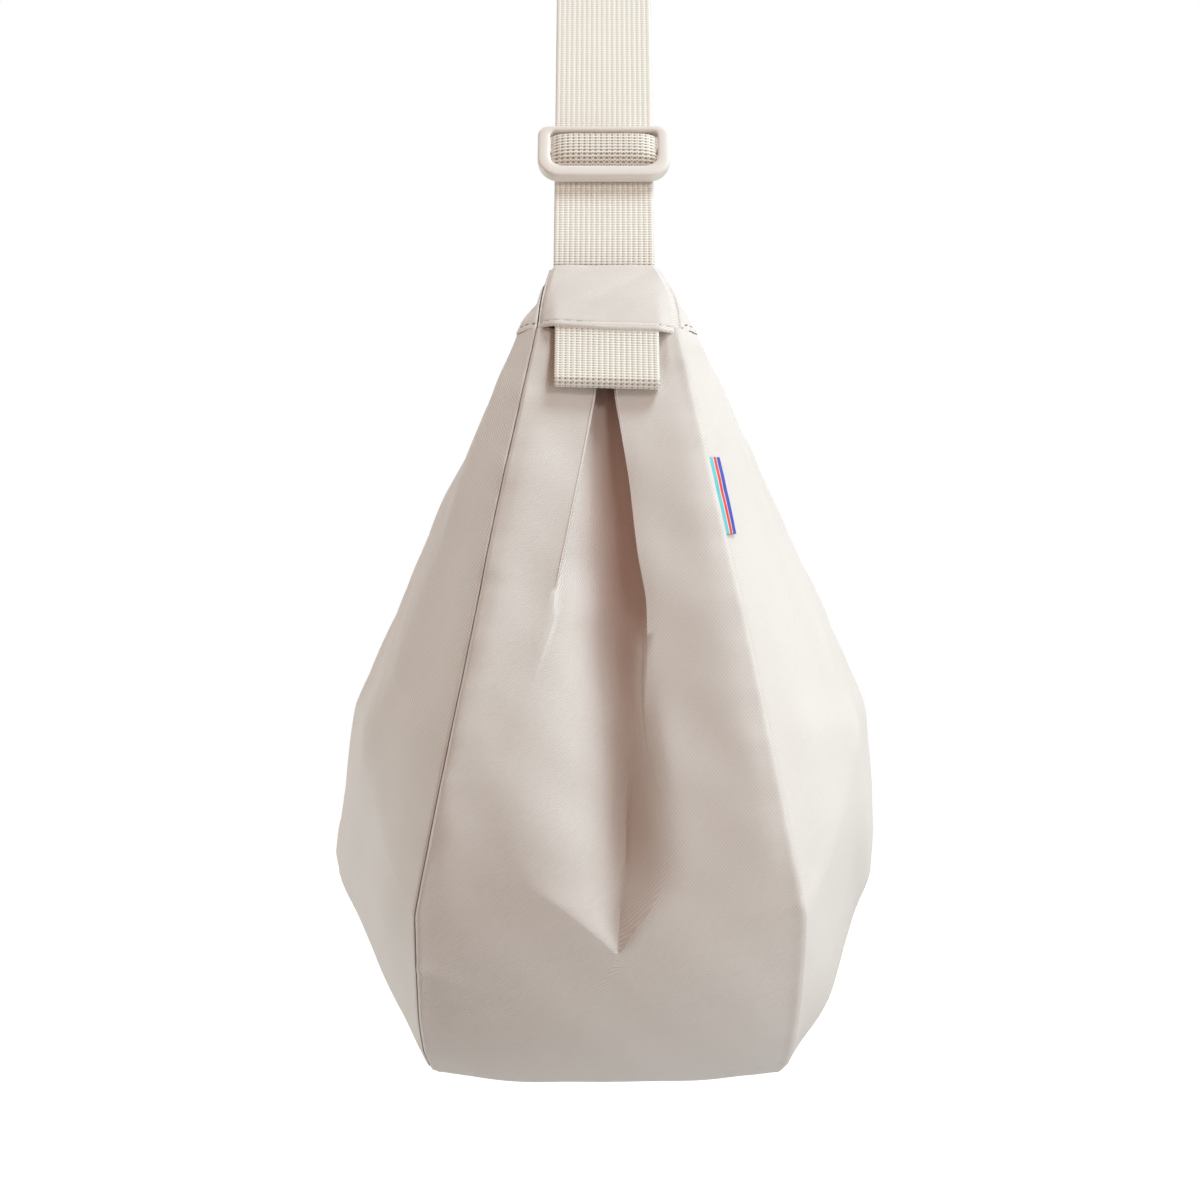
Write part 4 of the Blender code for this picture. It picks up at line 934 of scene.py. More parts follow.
# %% The strap, its ends and its return run
RING_WIDTH, RING_BAR, RING_PITCH, RING_FROM_EXIT, RING_SPREAD = 0.0480, 0.0020, 0.0140, 0.0190, 0.0300
SLIDER_FROM_EXIT, SLIDER_BAR = 0.0529, 0.0030
PICK_HEIGHT, REAL_PICKS, STRAP_STEP = 0.00006, 0.062, 0.0021
bar_turn = RING_BAR + GAP + WEBBING / 2
bar_s = RING_FROM_EXIT + RING_PITCH


def round_bar(s, way, turns):
    """Half a turn round one of the ring's bars."""
    places = [(way * bar_turn * math.sin(turn), bar_turn * math.cos(turn)) for turn in turns]
    return [run_place(1, s + along, -bar_turn + out) for along, out in places]


half_turn = np.linspace(0, math.pi, 17)
path = [run_place(-1, STRAP_START / math.cos(LEAN), 0.0)] + crown_arc(OUTER_CROWN, -1, 1)
path += round_bar(bar_s, -1, half_turn)
for share in np.linspace(0, 1, 9)[1:]:
    inner = -2 * bar_turn + (2 * bar_turn - LAYER_STEP) * share * share * (3 - 2 * share)
    path.append(run_place(1, bar_s + RING_SPREAD * share, inner))
path += crown_arc(INNER_CROWN, 1, -1)
strap = webbing("strap_band", path, STRAP_STEP, PICK_HEIGHT, REAL_PICKS, opened=TIGHT_WEAVE)
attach(strap, "strap")
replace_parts(strap, "strap_webbing")

path = [run_place(-1, s, -LAYER_STEP) for s in (SLIDER_FROM_EXIT - SLIDER_BAR / 2, RUN_LENGTH - GAP)]
return_run = webbing("strap_return", path, 0.002, opened=TIGHT_WEAVE)
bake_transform(return_run)
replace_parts(return_run, "strap_return_run")

# %% The webbing's two ends, which bend where they leave the caps
top = STRAP_START / math.cos(LEAN)
path = [(-STRAP_EXIT_X, EXIT_Z - STRAP_IN_CAP), (-STRAP_EXIT_X, EXIT_Z - STRAP_START / 4)]
path += [run_place(-1, top * share, 0.0) for share in (0.2, 1.0)]
foot_length = float(np.linalg.norm(np.diff(np.array(path), axis=0), axis=1).sum())
left_end = webbing("strap_foot", path, PICK / 4, PICK_HEIGHT, 1.0, -foot_length)
heights = np.array([vertex.co.z for vertex in left_end.data.vertices])
drawn_open = ramp(EXIT_Z + 0.0125 - heights, 0, 0.010).astype(np.float32)
left_end.data.attributes["open_weave_and_shade"].data.foreach_set("value", drawn_open)
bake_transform(left_end)
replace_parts(left_end, "strap_left_end")

leg, mouth = LAYER_STEP / 2, STRAP_START / 3
path = [(STRAP_EXIT_X - leg, EXIT_Z - STRAP_IN_CAP), (STRAP_EXIT_X - leg, EXIT_Z - mouth)]
path += [run_place(1, mouth, -2 * leg)]
path += round_bar(RING_FROM_EXIT, 1, half_turn[::-1])
path += [run_place(1, mouth, 0.0)]
path += [(STRAP_EXIT_X + leg, EXIT_Z - mouth), (STRAP_EXIT_X + leg, EXIT_Z - STRAP_IN_CAP)]
holder = webbing("ring_loop", path, PICK / 4, PICK_HEIGHT, 1.0)
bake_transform(holder)
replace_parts(holder, "ring_holder")
print("strap faces:", len(strap.data.polygons), "foot faces:", len(left_end.data.polygons))

# %% [markdown]
# ## Strap slider
# A tri-glide is a moulded plastic frame with a bar across it. Its edges are round, because the
# webbing runs over them. One closed ring of points round the window gives the frame, with a
# different width at the limbs and the rails, and a rounded bar joins its two limbs.


# %% Build the slider
def rounded_outline(half_width, half_length, corner, steps=10, low_corner=None, shift=0.0):
    """Points round a rectangle with round corners, as (y, s) pairs, the same number for any size."""
    points = []
    for sign_y, sign_s, start in ((1, 1, 0), (-1, 1, 90), (-1, -1, 180), (1, -1, 270)):
        turn = np.radians(np.linspace(start, start + 90, steps))
        radius = corner if sign_s > 0 or low_corner is None else low_corner
        points.append(stack(
            sign_y * (half_width - radius) + radius * np.cos(turn),
            sign_s * (half_length - radius) + radius * np.sin(turn) + shift,
        ))
    return np.concatenate(points)


middle_x, middle_z = run_place(-1, SLIDER_FROM_EXIT, 0.0)
slider_middle = np.array([middle_x, 0.0, middle_z])
along_way = np.array([math.sin(LEAN), 0.0, math.cos(LEAN)])
out_way = np.array([-math.cos(LEAN), 0.0, math.sin(LEAN)])
width_way = np.array([0.0, 1.0, 0.0])
SLIDER_BACK = 1.5 * WEBBING + 2 * GAP
SLIDER_DEPTH, LOWER_RAIL_BACK = 0.0034, 0.0013
SLIDER_HALF_WIDTH, SLIDER_HALF_LENGTH, SLIDER_SHIFT = 0.0256, 0.0123, -0.0011
WINDOW_HALF_WIDTH, WINDOW_HALF, WINDOW_SHIFT = 0.0207, 0.0084, 0.0005
BAR_HALF_WIDTH, BAR_HALF, BAR_HALF_THICK = 0.0218, 0.0015, 0.0009


def in_slider(y, s, n):
    """Point at y across the strap, s along it and n outwards, from the slider's middle."""
    y, s, n = (np.asarray(value, float)[..., None] for value in np.broadcast_arrays(y, s, n))
    return slider_middle + width_way * y + along_way * s + out_way * n


outer_line = rounded_outline(SLIDER_HALF_WIDTH, SLIDER_HALF_LENGTH, 0.0044, 12, 0.0090, SLIDER_SHIFT)
window_line = rounded_outline(WINDOW_HALF_WIDTH, WINDOW_HALF, 0.0024, 12, 0.0050, WINDOW_SHIFT)
turns = circle(20)
section_out, section_up = (np.sign(part) * np.abs(part) ** 0.46 for part in (np.cos(turns), np.sin(turns)))
frame_line = frame_places(outer_line, window_line, section_out)
backwards = LOWER_RAIL_BACK * ramp(-((outer_line + window_line) / 2)[:, 1:], 0.004, 0.009)
height = SLIDER_BACK - backwards + (SLIDER_DEPTH + backwards) / 2 * (1 + section_up)
rings = in_slider(frame_line[..., 0], frame_line[..., 1], height)
slider = loft("slider_frame", rings, None, plastic, closed=True)
dress(slider, "strap_slider", "strap_slider")

bar_y = np.linspace(-BAR_HALF_WIDTH, BAR_HALF_WIDTH, 25)
bar_s_line, bar_n_line = BAR_HALF * np.cos(turns), BAR_HALF_THICK * np.sin(turns)
bar_rings = in_slider(bar_y[:, None], bar_s_line[None, :], SLIDER_BACK + 0.0011 + bar_n_line[None, :])
bar = loft("slider_bar", bar_rings, None, plastic)
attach(bar, "strap_slider")

# %% The webbing's hump over the bar, which falls more steeply at its upper end
WRAP_WIDTH, WRAP_RIBS, WRAP_PICK, WRAP_PICK_HEIGHT = 0.0408, 20, 0.00142, 0.00012
WRAP_TUCK, WRAP_REST = WINDOW_HALF + 0.0012, WEBBING + GAP
WRAP_RISE, WRAP_HUMP = SLIDER_BACK + 0.0020 + GAP + WEBBING - WRAP_REST, WINDOW_HALF - WEBBING / 2 - 0.0001
path = [(-WRAP_TUCK, WRAP_REST)]
for share in np.sin(np.linspace(-math.pi / 2, math.pi / 2, 61)):
    path.append((share * WRAP_HUMP, WRAP_REST + WRAP_RISE * (1 - abs(share) ** (9 if share > 0 else 3.0))))
path.append((WRAP_TUCK, WRAP_REST))
path = [run_place(-1, SLIDER_FROM_EXIT + s + WINDOW_SHIFT, n) for s, n in path]
wrap = webbing(
    "slider_wrap", path, PICK / 4, WRAP_PICK_HEIGHT, 1.0, width=WRAP_WIDTH, ribs=WRAP_RIBS, pitch=WRAP_PICK
)
corners = np.array([vertex.co[:] for vertex in wrap.data.vertices]) - slider_middle
y, s, n = corners @ width_way, corners @ along_way, corners @ out_way
edge = np.abs(y) / (WRAP_WIDTH / 2)
n = WRAP_REST + (n - WRAP_REST) * (1 - 0.45 * edge**7)
s = WINDOW_SHIFT + (s - WINDOW_SHIFT) * (1 - 0.05 * edge**8)
for vertex, place in zip(wrap.data.vertices, in_slider(y, s, n)):
    vertex.co = place
# Wider, darker gaps on the wrap's lower half: partly the weave opening where it bends, partly painted shade
# on its lower rows
stretch_and_painted_shade = 1.3 + 2.0 * ramp(-s, -0.003, 0.006)
wrap.data.attributes["open_weave_and_shade"].data.foreach_set("value", stretch_and_painted_shade.astype(np.float32))
dress(wrap, "strap_slider", "strap_slider_wrap")
print("slider frame faces:", len(slider.data.polygons))

# %% [markdown]
# ## Ring at the far end
# The strap turns back through a rectangular plastic ring. A round section swept along a
# rectangle with round corners is enough.

# %% Build the ring
ring_line = rounded_outline(RING_WIDTH / 2 - RING_BAR, RING_PITCH / 2, 0.003, 8)
turns = circle(16)
ring_out = outwards(ring_line)[:, None, :] * (RING_BAR * np.cos(turns))[None, :, None]
ring_places = ring_line[:, None, :] + ring_out
ring_s = RING_FROM_EXIT + RING_PITCH / 2 + ring_places[..., 1]
ring_x, ring_z = run_place(1, ring_s, -bar_turn + RING_BAR * np.sin(turns))
rings = stack(ring_x, ring_places[..., 0], ring_z)
strap_ring = loft("strap_end_ring", rings, None, plastic, closed=True)
dress(strap_ring, "strap", "strap_ring")
print("ring faces:", len(strap_ring.data.polygons))

# %% [markdown]
# ## End caps
# A cap is three pieces of the bag's own twill sewn round the strap: a face over the gusset and
# two sides over the ends of the panels. The face's top edge is rolled in, and its lower edge is
# folded and stitched over the gusset.


# %% The caps' form
CAP_STITCH, CAP_ROLL, CAP_SHOULDER, FACE_CLOTH, SIDE_CLOTH = 0.0028, 0.0011, 0.0036, 0.0010, 0.0009
cap_seam_place = np.array([CAP_SEAM_X, EXIT_Z - CAP_SEAM_DEPTH + GAP])
cap_up = unit(np.array([CAP_TOP_X, EXIT_Z]) - cap_seam_place)
cap_out = np.array([cap_up[1], -cap_up[0]])
CAP_LENGTH = math.hypot(CAP_TOP_X - CAP_SEAM_X, CAP_SEAM_DEPTH - GAP)


def cap_seam_shift(y):
    """A cap's stitched lower edge isn't quite level."""
    return np.interp(y, (-0.027, -0.019, 0.0, 0.018, 0.027), (-0.0030, -0.0023, -0.0019, -0.0003, -0.0006))


def cap_lip(s):
    """The folded edge: a rounded lip, then the groove that its topstitch pulls in."""
    rise = np.sqrt(np.clip(1 - (1 - np.clip(s / 0.0007, 0, 1)) ** 2, 0, 1))
    return 0.0008 * rise * (1 - ramp(s, 0.0020, 0.0029)) + 0.0002 - 0.00035 * bell(s, CAP_STITCH, 0.00045)


def cap_fullness(b, side):
    """How far a cap's side seam bows outwards. The front one bows more."""
    return np.where(np.asarray(side) < 0, 0.0020, 0.0007) * np.sin(math.pi * b)


def cap_face_place(share, s, end):
    """Place on a cap's face: share runs across it from -1 to 1, s is the height above its lower edge."""
    half = CAP_SEAM_HALF + (CAP_TOP_HALF - CAP_SEAM_HALF) * s / CAP_LENGTH
    b = np.clip(s / CAP_LENGTH, 0, 1)
    y = share * (half - GAP / 2 + np.where(share * end < 0, -0.0001, 0.0004) + cap_fullness(b, share))
    swell = 0.0012 * (1 - np.abs(share) ** 3) * np.sin(math.pi * b**0.8) ** 0.8
    low = (1 - np.clip(s / (0.85 * CAP_LENGTH), 0, 1)) ** 1.2
    over_tab = 0.0034 * (1 - ramp(np.abs(y), 0.0185, 0.0262)) * low
    turned = -np.where(share * end < 0, 0.0018, 0.0010) * ramp(np.abs(share), 0.90, 1.0)
    n = swell + cap_lip(s) + turned + 0.0003 * wander(b * 1.7 + share * 0.9, 31) * ramp(s, 0.002, 0.008)
    shift = cap_seam_shift(y) * (1 - ramp(s, 0.0, 0.016))
    x = cap_seam_place[0] + s * cap_up[0]
    z = cap_seam_place[1] + s * cap_up[1] + shift
    return stack(end * (x + n * cap_out[0] + over_tab), y, z + n * cap_out[1]), stack(end * x, y, z)


# %% Build a cap's face
def cap_face(name, node, end):
    """A ring of points round the cloth's thickness, for each place across the face."""
    rings, places = [], []
    for share in np.sin(np.linspace(-math.pi / 2, math.pi / 2, 61)):
        shoulder = CAP_SHOULDER * (1 - math.sqrt(1 - float(np.clip((abs(share) - 0.82) / 0.18, 0, 1)) ** 2))
        s = np.concatenate([np.linspace(0, 0.0038, 14), np.linspace(0.0046, CAP_LENGTH - shoulder, 24)])
        outside, flat = cap_face_place(share + 0 * s, s, end)
        top = outside[-1]
        up, back = np.array([end * cap_up[0], 0, cap_up[1]]), np.array([end, 0, 0])
        roll = np.linspace(0, math.pi, 8)[1:]
        over = np.array(
            [top + up * CAP_ROLL * math.sin(t) - back * CAP_ROLL * (1 - math.cos(t)) for t in roll]
        )
        depth_in = np.array([end * cap_out[0], 0, cap_out[1]])
        inside = flat[::-1][2:-6:3] - depth_in * FACE_CLOTH
        under = flat[4:5] - depth_in * np.array([[0.0006], [0.0]])
        ring = np.concatenate([outside, over, inside, under])
        rings.append(leaned(ring))
        along = (ring[:, [0, 2]] * np.array([end, 1]) - cap_seam_place) @ cap_up
        places.append(stack(ring[:, 1], along))
    dress(loft(name, np.array(rings), np.array(places), shell_cloth), "bag", node)


# %% Build a cap's sides
def cap_bottom_edge(c, end, side):
    edge = panel_point(np.full_like(c, float(end)), np.clip(c / 0.80, 0, 1), side)
    edge[..., 1] += (side * GAP / 2 - edge[..., 1]) * np.clip((c - 0.80) / 0.20, 0, 1)
    edge[..., 2] += GAP
    return edge


def cap_top_edge(c, end, side):
    back, turn, half = CAP_TOP_X - CAP_SLOT, CAP_BACK_CORNER / 3, CAP_TOP_HALF + GAP / 2
    x = np.interp(c, (0.0, 0.4, 0.5, 1.0), (CAP_TOP_X, back + turn, back, back))
    y = np.interp(c, (0.0, 0.4, 0.5, 1.0), (half, half, half - turn, GAP / 2))
    return stack(end * x, side * y, EXIT_Z)


def cap_side_place(c, b, end, side):
    """Place on a cap's side: c runs back from its face to the zip, b up from its lower edge."""
    place = cap_bottom_edge(c, end, side) * (1 - b[..., None]) + cap_top_edge(c, end, side) * b[..., None]
    away = stack(np.gradient(place[..., 1], axis=0), -np.gradient(place[..., 0], axis=0), 0.0)
    middle = np.array([end * (CAP_TOP_X - CAP_SLOT / 2), 0, 0])
    outward = unit(away) * np.where(((place - middle) * away).sum(-1, keepdims=True) < 0, -1, 1)
    face_way = ((1 - ramp(c, 0, 0.12)) - (1 - ramp(1 - c, 0, 0.12)))[..., None] * np.array([end, 0, 0])
    outward = unit(outward * (ramp(c, 0, 0.12) * ramp(1 - c, 0, 0.12))[..., None] + face_way + outward * 0.05)
    height = run_along(place, 1)
    length = run_along(place, 0)
    near_face = 1 - ramp(length, 0.0, 0.008)
    place[..., 2] += cap_seam_shift(place[..., 1]) * near_face * (1 - ramp(b, 0, 0.5))
    place[..., 2] -= CAP_SHOULDER * near_face * ramp(b, 0.6, 1.0)
    place[..., 1] += side * cap_fullness(b, side) * near_face
    swell = 0.0014 * np.sin(math.pi * np.clip(c / 0.8, 0, 1)) ** 0.7 * np.sin(math.pi * b) ** 0.8
    dent = (0.0036 if side > 0 else 0.0010) * np.sin(math.pi * b**0.85) * hump(c, 0.0, 0.15, 0.6, 0.8)
    dent = dent * (ramp(b, 0.12, 0.58) if side > 0 else 1.0)
    groove = -0.0014 * np.clip(1 - length / 0.0024, 0, 1) ** 1.5
    lip = 0.35 * cap_lip(height) * (1 - ramp(c, 0.5, 0.75)) * ramp(length, 0, 0.002)
    return place, outward, (swell - dent + lip + groove)[..., None], stack(length, height)


def cap_side(name, node, end, side):
    heights = np.concatenate([np.linspace(0, 0.12, 10), np.linspace(0.15, 1, 26)])
    c, b = net(np.linspace(0, 1, 61), heights)
    place, outward, n, uv = cap_side_place(c, b, end, side)
    outer, inner = place + outward * n, place + outward * (np.minimum(n, 0) - SIDE_CLOTH)
    dress(sheet(name, leaned(outer), leaned(inner), uv, shell_cloth), "bag", node)


for place_name, end in (("left", -1), ("right", 1)):
    cap_face(f"{place_name}_cap_front_cloth", f"{place_name}_cap_face", end)
    cap_side(f"{place_name}_cap_side_front", f"{place_name}_cap_front", end, -1)
    cap_side(f"{place_name}_cap_side_back", f"{place_name}_cap_back", end, 1)
print("caps built")

# %% [markdown]
# ## End tabs
# A short length of webbing is folded in half and both its ends are caught in the cap's seam. It
# makes a loop for a key ring.


# %% Build the tabs
TAB_LENGTH, TAB_INNER_GAP, TAB_DROP, TAB_SLANT = 0.0236, 0.0026, 0.0036, 0.028


def end_tab(name, end):
    """Loop of webbing that starts a little below the cap's seam and lies on the gusset."""
    foot_x, foot_depth = seam(1 - TAB_LENGTH / HALF_RUN)
    down = unit(np.array([foot_x - CAP_SEAM_X, CAP_SEAM_DEPTH - foot_depth]))
    out = np.array([-down[1], down[0]])
    root = np.array([CAP_SEAM_X, EXIT_Z - CAP_SEAM_DEPTH]) + out * (WEBBING - 0.0002) + down * TAB_DROP
    fold = (TAB_INNER_GAP + WEBBING) / 2
    straight = TAB_LENGTH - fold - WEBBING / 2
    inner = -(WEBBING + GAP) / 2
    places = [(s * straight, inner) for s in (-0.2, 0, 0.5, 1)]
    for turn in np.linspace(0, math.pi, 17)[1:]:
        places.append((straight + fold * math.sin(turn), inner + fold * (1 - math.cos(turn))))
    for s in np.linspace(1, 0, 17)[1:]:
        places.append((s * straight, -inner + (2 * inner + 2 * fold) * s * s * (3 - 2 * s)))
    places.append((-0.2 * straight, -inner))
    away = 0.0012 / straight**2
    path = [(end * x, z) for x, z in (root + down * s + out * (n + away * s * s) for s, n in places)]
    tab = webbing(name, path, PICK / 4, 0.00008, 1.0, opened=0.3)
    slant = mathutils.Matrix.Translation((0, -0.0010, 0))
    slant[2][1] = TAB_SLANT
    tab.data.transform(slant)
    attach(tab, name.replace("_loop", "_end_tab"))
    return tab


for place_name, end in (("left", -1), ("right", 1)):
    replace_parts(end_tab(f"{place_name}_loop", end), f"{place_name}_end_tab")
print("tabs built")

# %% [markdown]
# ## Side tag
# A short folded ribbon is caught in the front seam. It lies back on the front panel, square to
# the seam, with its fold outwards.

# %% Build the side tag
TAG_DEPTH, TAG_LENGTH, TAG_REACH, TAG_HALF_THICK = 0.0740, 0.0290, 0.0050, 0.00045
left_run = OUTLINE_RUN[-1] - OUTLINE_RUN
order = np.argsort(OUTLINE_DEPTH)
tag_top = float(np.interp(TAG_DEPTH, OUTLINE_DEPTH[order], left_run[order]))


def tag_place(run, reach):
    """Place and outward direction on the front panel, at a distance along the seam and square to it."""
    u0 = -(HALF_RUN - run) / HALF_RUN
    step = 1e-3
    along = (panel_point(u0 + step, 0.02, -1) - panel_point(u0 - step, 0.02, -1)) / (2 * step)
    up = (panel_point(u0, 0.03, -1) - panel_point(u0, 0.01, -1)) / 0.02
    skew = (up * along).sum(-1) / (along * along).sum(-1)
    square = np.linalg.norm(up - along * skew[..., None], axis=-1)
    u, v = u0 - skew * reach / square, reach / square
    outer, inward = panel_surface(u, np.maximum(v, 0), -1, np.maximum(reach, 0))
    return outer, -inward


run, reach = net(tag_top + np.linspace(0, TAG_LENGTH, 30), np.linspace(-0.0006, TAG_REACH, 16))
place, away = tag_place(run, reach)
layers = TAG_HALF_THICK * np.sqrt(np.clip(1 - (reach / TAG_REACH) ** 8, 0, 1))
lift = 0.0007 + 0.0007 * (reach / TAG_REACH) ** 2 + 0.0002 * wander((run - tag_top) / 0.03, 41)
outer_face, inner_face = (place + away * (lift + sign * layers)[..., None] for sign in (1, -1))
tag_uv = stack(np.maximum(reach, 0), run)
tag = dress(sheet("seam_ribbon", outer_face, inner_face, tag_uv, ribbon), "bag", "side_tag")
print("tag faces:", len(tag.data.polygons))

# %% [markdown]
# ## Rows of small things
# Stitches and zip teeth are one shape repeated along a line, which Geometry Nodes do well. The
# tree spaces points along the line, puts a small bead on each with a little chance in its
# length, and makes them real. Its sizes are inputs, so one tree serves for every row.


# %% A node tree that sets beads along lines
def bead_tree():
    tree = bpy.data.node_groups.new("beads_along", "GeometryNodeTree")
    sockets = {}
    for label, kind, value in (
        ("Lines", "NodeSocketGeometry", None),
        ("Pitch", "NodeSocketFloat", 0.004),
        ("Size", "NodeSocketVector", (0.0004, 0.0004, 0.003)),
        ("Uneven", "NodeSocketFloat", 0.08),
        ("Seed", "NodeSocketInt", 1),
        ("Material", "NodeSocketMaterial", None),
    ):
        socket = tree.interface.new_socket(label, in_out="INPUT", socket_type=kind)
        if value is not None:
            socket.default_value = value
        sockets[label] = socket.identifier
    tree.interface.new_socket("Beads", in_out="OUTPUT", socket_type="NodeSocketGeometry")
    given = tree.nodes.new("NodeGroupInput").outputs

    def step(kind, inputs=(), **settings):
        """A node with its settings made and its inputs set or linked."""
        node = tree.nodes.new(kind)
        for setting, value in settings.items():
            setattr(node, setting, value)
        for label, value in inputs:
            put(node, label, value)
        return node.outputs

    curve = step("GeometryNodeMeshToCurve", [("Mesh", given["Lines"])])["Curve"]
    spacing = [("Curve", curve), ("Length", given["Pitch"])]
    spaced = step("GeometryNodeResampleCurve", spacing, mode="LENGTH")["Curve"]
    bead = step("GeometryNodeMeshUVSphere", [("Segments", 8), ("Rings", 6), ("Radius", 0.5)])["Mesh"]
    along = step("GeometryNodeInputTangent")["Tangent"]
    turn = step("FunctionNodeAlignRotationToVector", [("Vector", along)], axis="Z")["Rotation"]
    least = step("ShaderNodeMath", [(0, 1.0), (1, given["Uneven"])], operation="SUBTRACT")[0]
    # The chance node's float sockets are the third and fourth in, and the second out
    limits = [(2, least), (3, 1.0), ("Seed", given["Seed"])]
    chance = step("FunctionNodeRandomValue", limits, data_type="FLOAT")[1]
    sized = step("ShaderNodeVectorMath", [(0, given["Size"]), ("Scale", chance)], operation="SCALE")["Vector"]
    setting = [("Points", spaced), ("Instance", bead), ("Rotation", turn), ("Scale", sized)]
    placed = step("GeometryNodeInstanceOnPoints", setting)["Instances"]
    real = step("GeometryNodeRealizeInstances", [("Geometry", placed)])["Geometry"]
    smooth = step("GeometryNodeSetShadeSmooth", [("Geometry", real)])["Geometry"]
    finish = [("Geometry", smooth), ("Material", given["Material"])]
    painted = step("GeometryNodeSetMaterial", finish)["Geometry"]
    put(tree.nodes.new("NodeGroupOutput"), "Beads", painted)
    return tree, sockets


beads, bead_sockets = bead_tree()


def bead_rows(name, lines, material, slot, **sizes):
    """One mesh of beads along several lines of points, riding with the bag."""
    points = np.concatenate(lines)
    starts = np.cumsum([0] + [len(line) for line in lines])
    edges = [(i, i + 1) for first, last in zip(starts[:-1], starts[1:]) for i in range(first, last - 1)]
    mesh = bpy.data.meshes.new(f"{name}_lines")
    mesh.from_pydata(points.tolist(), edges, [])
    guide = add_object(f"{name}_lines", mesh)
    modifier = guide.modifiers.new("beads", "NODES")
    modifier.node_group = beads
    for label, value in {**sizes, "Material": material}.items():
        modifier[bead_sockets[label]] = value
    bpy.context.view_layer.update()
    graph = bpy.context.evaluated_depsgraph_get()
    plain = bpy.data.meshes.new_from_object(guide.evaluated_get(graph), depsgraph=graph)
    plain.name = name
    bpy.data.objects.remove(guide)
    piece = add_object(name, plain)
    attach(piece, "bag")
    print(name, "faces:", len(plain.polygons))


# %% Topstitching of the caps
STITCH_STAND = 0.00012


def cap_stitch_lines():
    """Lines along both caps' lower edges, on the face and on the sides up to where they meet the zip."""
    lines = []
    for end in (-1, 1):
        share = np.linspace(-0.985, 0.985, 90)
        face, _ = cap_face_place(share, np.full_like(share, CAP_STITCH), end)
        lines.append(leaned(face + np.array([end * cap_out[0], 0, cap_out[1]]) * STITCH_STAND))
        for side in (-1, 1):
            c, b = net(np.linspace(0, 1, 61), np.linspace(0, 0.3, 25))
            place, outward, n, _ = cap_side_place(c, b, end, side)
            outer = leaned(place + outward * (n + STITCH_STAND))
            picked = np.abs(run_along(place, 1) - CAP_STITCH).argmin(axis=1)
            lines.append(outer[np.arange(2, 47), picked[2:47]])
    return lines


CAP_THREAD = {"Pitch": 0.0040, "Size": (0.00060, 0.00060, 0.0028), "Seed": 3}
bead_rows("cap_topstitch", cap_stitch_lines(), painted_shade_thread, "shell_fabric", **CAP_THREAD)

# %% [markdown]
# ## Zip
# Two woven tapes lie in the opening, each with a coil, drawn as a row of small teeth. The slider
# runs over both coils, and its puller hangs in a bail. The panels' edges are stitched down along the tapes.

# %% Tapes, coils and their stitching
CHAIN_HALF_GAP, CHAIN_WIDTH, CHAIN_HEIGHT, TAPE = 0.00065, 0.0026, 0.0010, 0.0008
CHAIN_LEFT, CHAIN_RIGHT = -ZIP_END_X + 0.0250, ZIP_END_X - 0.0060
COIL_TEETH = {"Pitch": 0.00125, "Size": (0.0011, 0.0029, 0.00092), "Uneven": 0.0, "Seed": 5}
COIL_THREAD = {"Pitch": 0.0025, "Size": (0.0003, 0.0004, 0.0020), "Seed": 7}
ZIP_THREAD = {"Pitch": 0.0036, "Size": (0.00045, 0.00045, 0.0028), "Seed": 9}
zip_top = EXIT_Z - ZIP_DEPTH
for tape_name, side in (("front", -1), ("back", 1)):
    x, across = net(np.linspace(-ZIP_END_X + GAP, ZIP_END_X - GAP, 141), np.linspace(0, 1, 19))
    y = side * (0.0005 + (ZIP_HALF - GAP / 2 - 0.0005) * across)
    rise = 0.00012 * wander(x / 0.05 + side * 0.2, 61) * ramp(across, 0.35, 0.7)
    over = stack(x, y, zip_top + (rise - 0.0003 * ramp(across, 0.35, 0.45)))
    tape = sheet(f"{tape_name}_tape", over, over - np.array([0, 0, TAPE]), stack(y, x), tape_cloth)
    dress(tape, "bag", f"zip_tape_{tape_name}")
    tooth_y = side * (0.00045 + CHAIN_HALF_GAP + CHAIN_WIDTH) / 2
    shift = 0.0 if side < 0 else 0.0006
    line = np.array([[CHAIN_LEFT + 0.0006 + shift, tooth_y, 0], [CHAIN_RIGHT - 0.0010, tooth_y, 0]])
    line[:, 2] = zip_top + CHAIN_HEIGHT / 2 - 0.0001
    bead_rows(f"{tape_name}_coil", [line], coil, "zip_tape", **COIL_TEETH)
    seam_y = side * (CHAIN_HALF_GAP + CHAIN_WIDTH + 0.0004)
    line = np.array([[CHAIN_LEFT, seam_y, zip_top + 0.0001], [CHAIN_RIGHT, seam_y, zip_top + 0.0001]])
    bead_rows(f"{tape_name}_coil_stitch", [line], painted_shade_thread, "zip_tape", **COIL_THREAD)

panel_rows = []
for side in (-1, 1):
    for distance in (0.0022, 0.0070):
        u = np.linspace(-0.965, 0.965, 200)
        grid_u, grid_v = net(u, np.linspace(0.85, 1, 60))
        base = panel_point(grid_u, grid_v, side)
        to_edge = run_along(base[:, ::-1], 1)[:, ::-1]
        v = np.array([np.interp(distance, far[::-1], at[::-1]) for far, at in zip(to_edge, grid_v)])
        outer, inward = panel_surface(u, v, side, np.full_like(u, 0.3))
        panel_rows.append(outer - inward * 0.0001)
bead_rows("zip_topstitch", panel_rows, painted_shade_thread, "shell_fabric", **ZIP_THREAD)


# %% Plates with rounded edges, for stops, slider and puller
def plate(name, outline, low, high, rounding, move):
    """Flat metal plate with rounded edges, from its outline in (x, y)."""
    rings = []
    for turn in np.linspace(-math.pi / 2, math.pi / 2, 9):
        flat = outline - outwards(outline) * (rounding * (1 - math.cos(turn)))
        middle = low + rounding if turn < 0 else high - rounding
        rings.append(stack(flat[:, 0], flat[:, 1], middle + rounding * math.sin(turn)))
    return loft(name, np.array(rings) + np.array(move), None, metal)


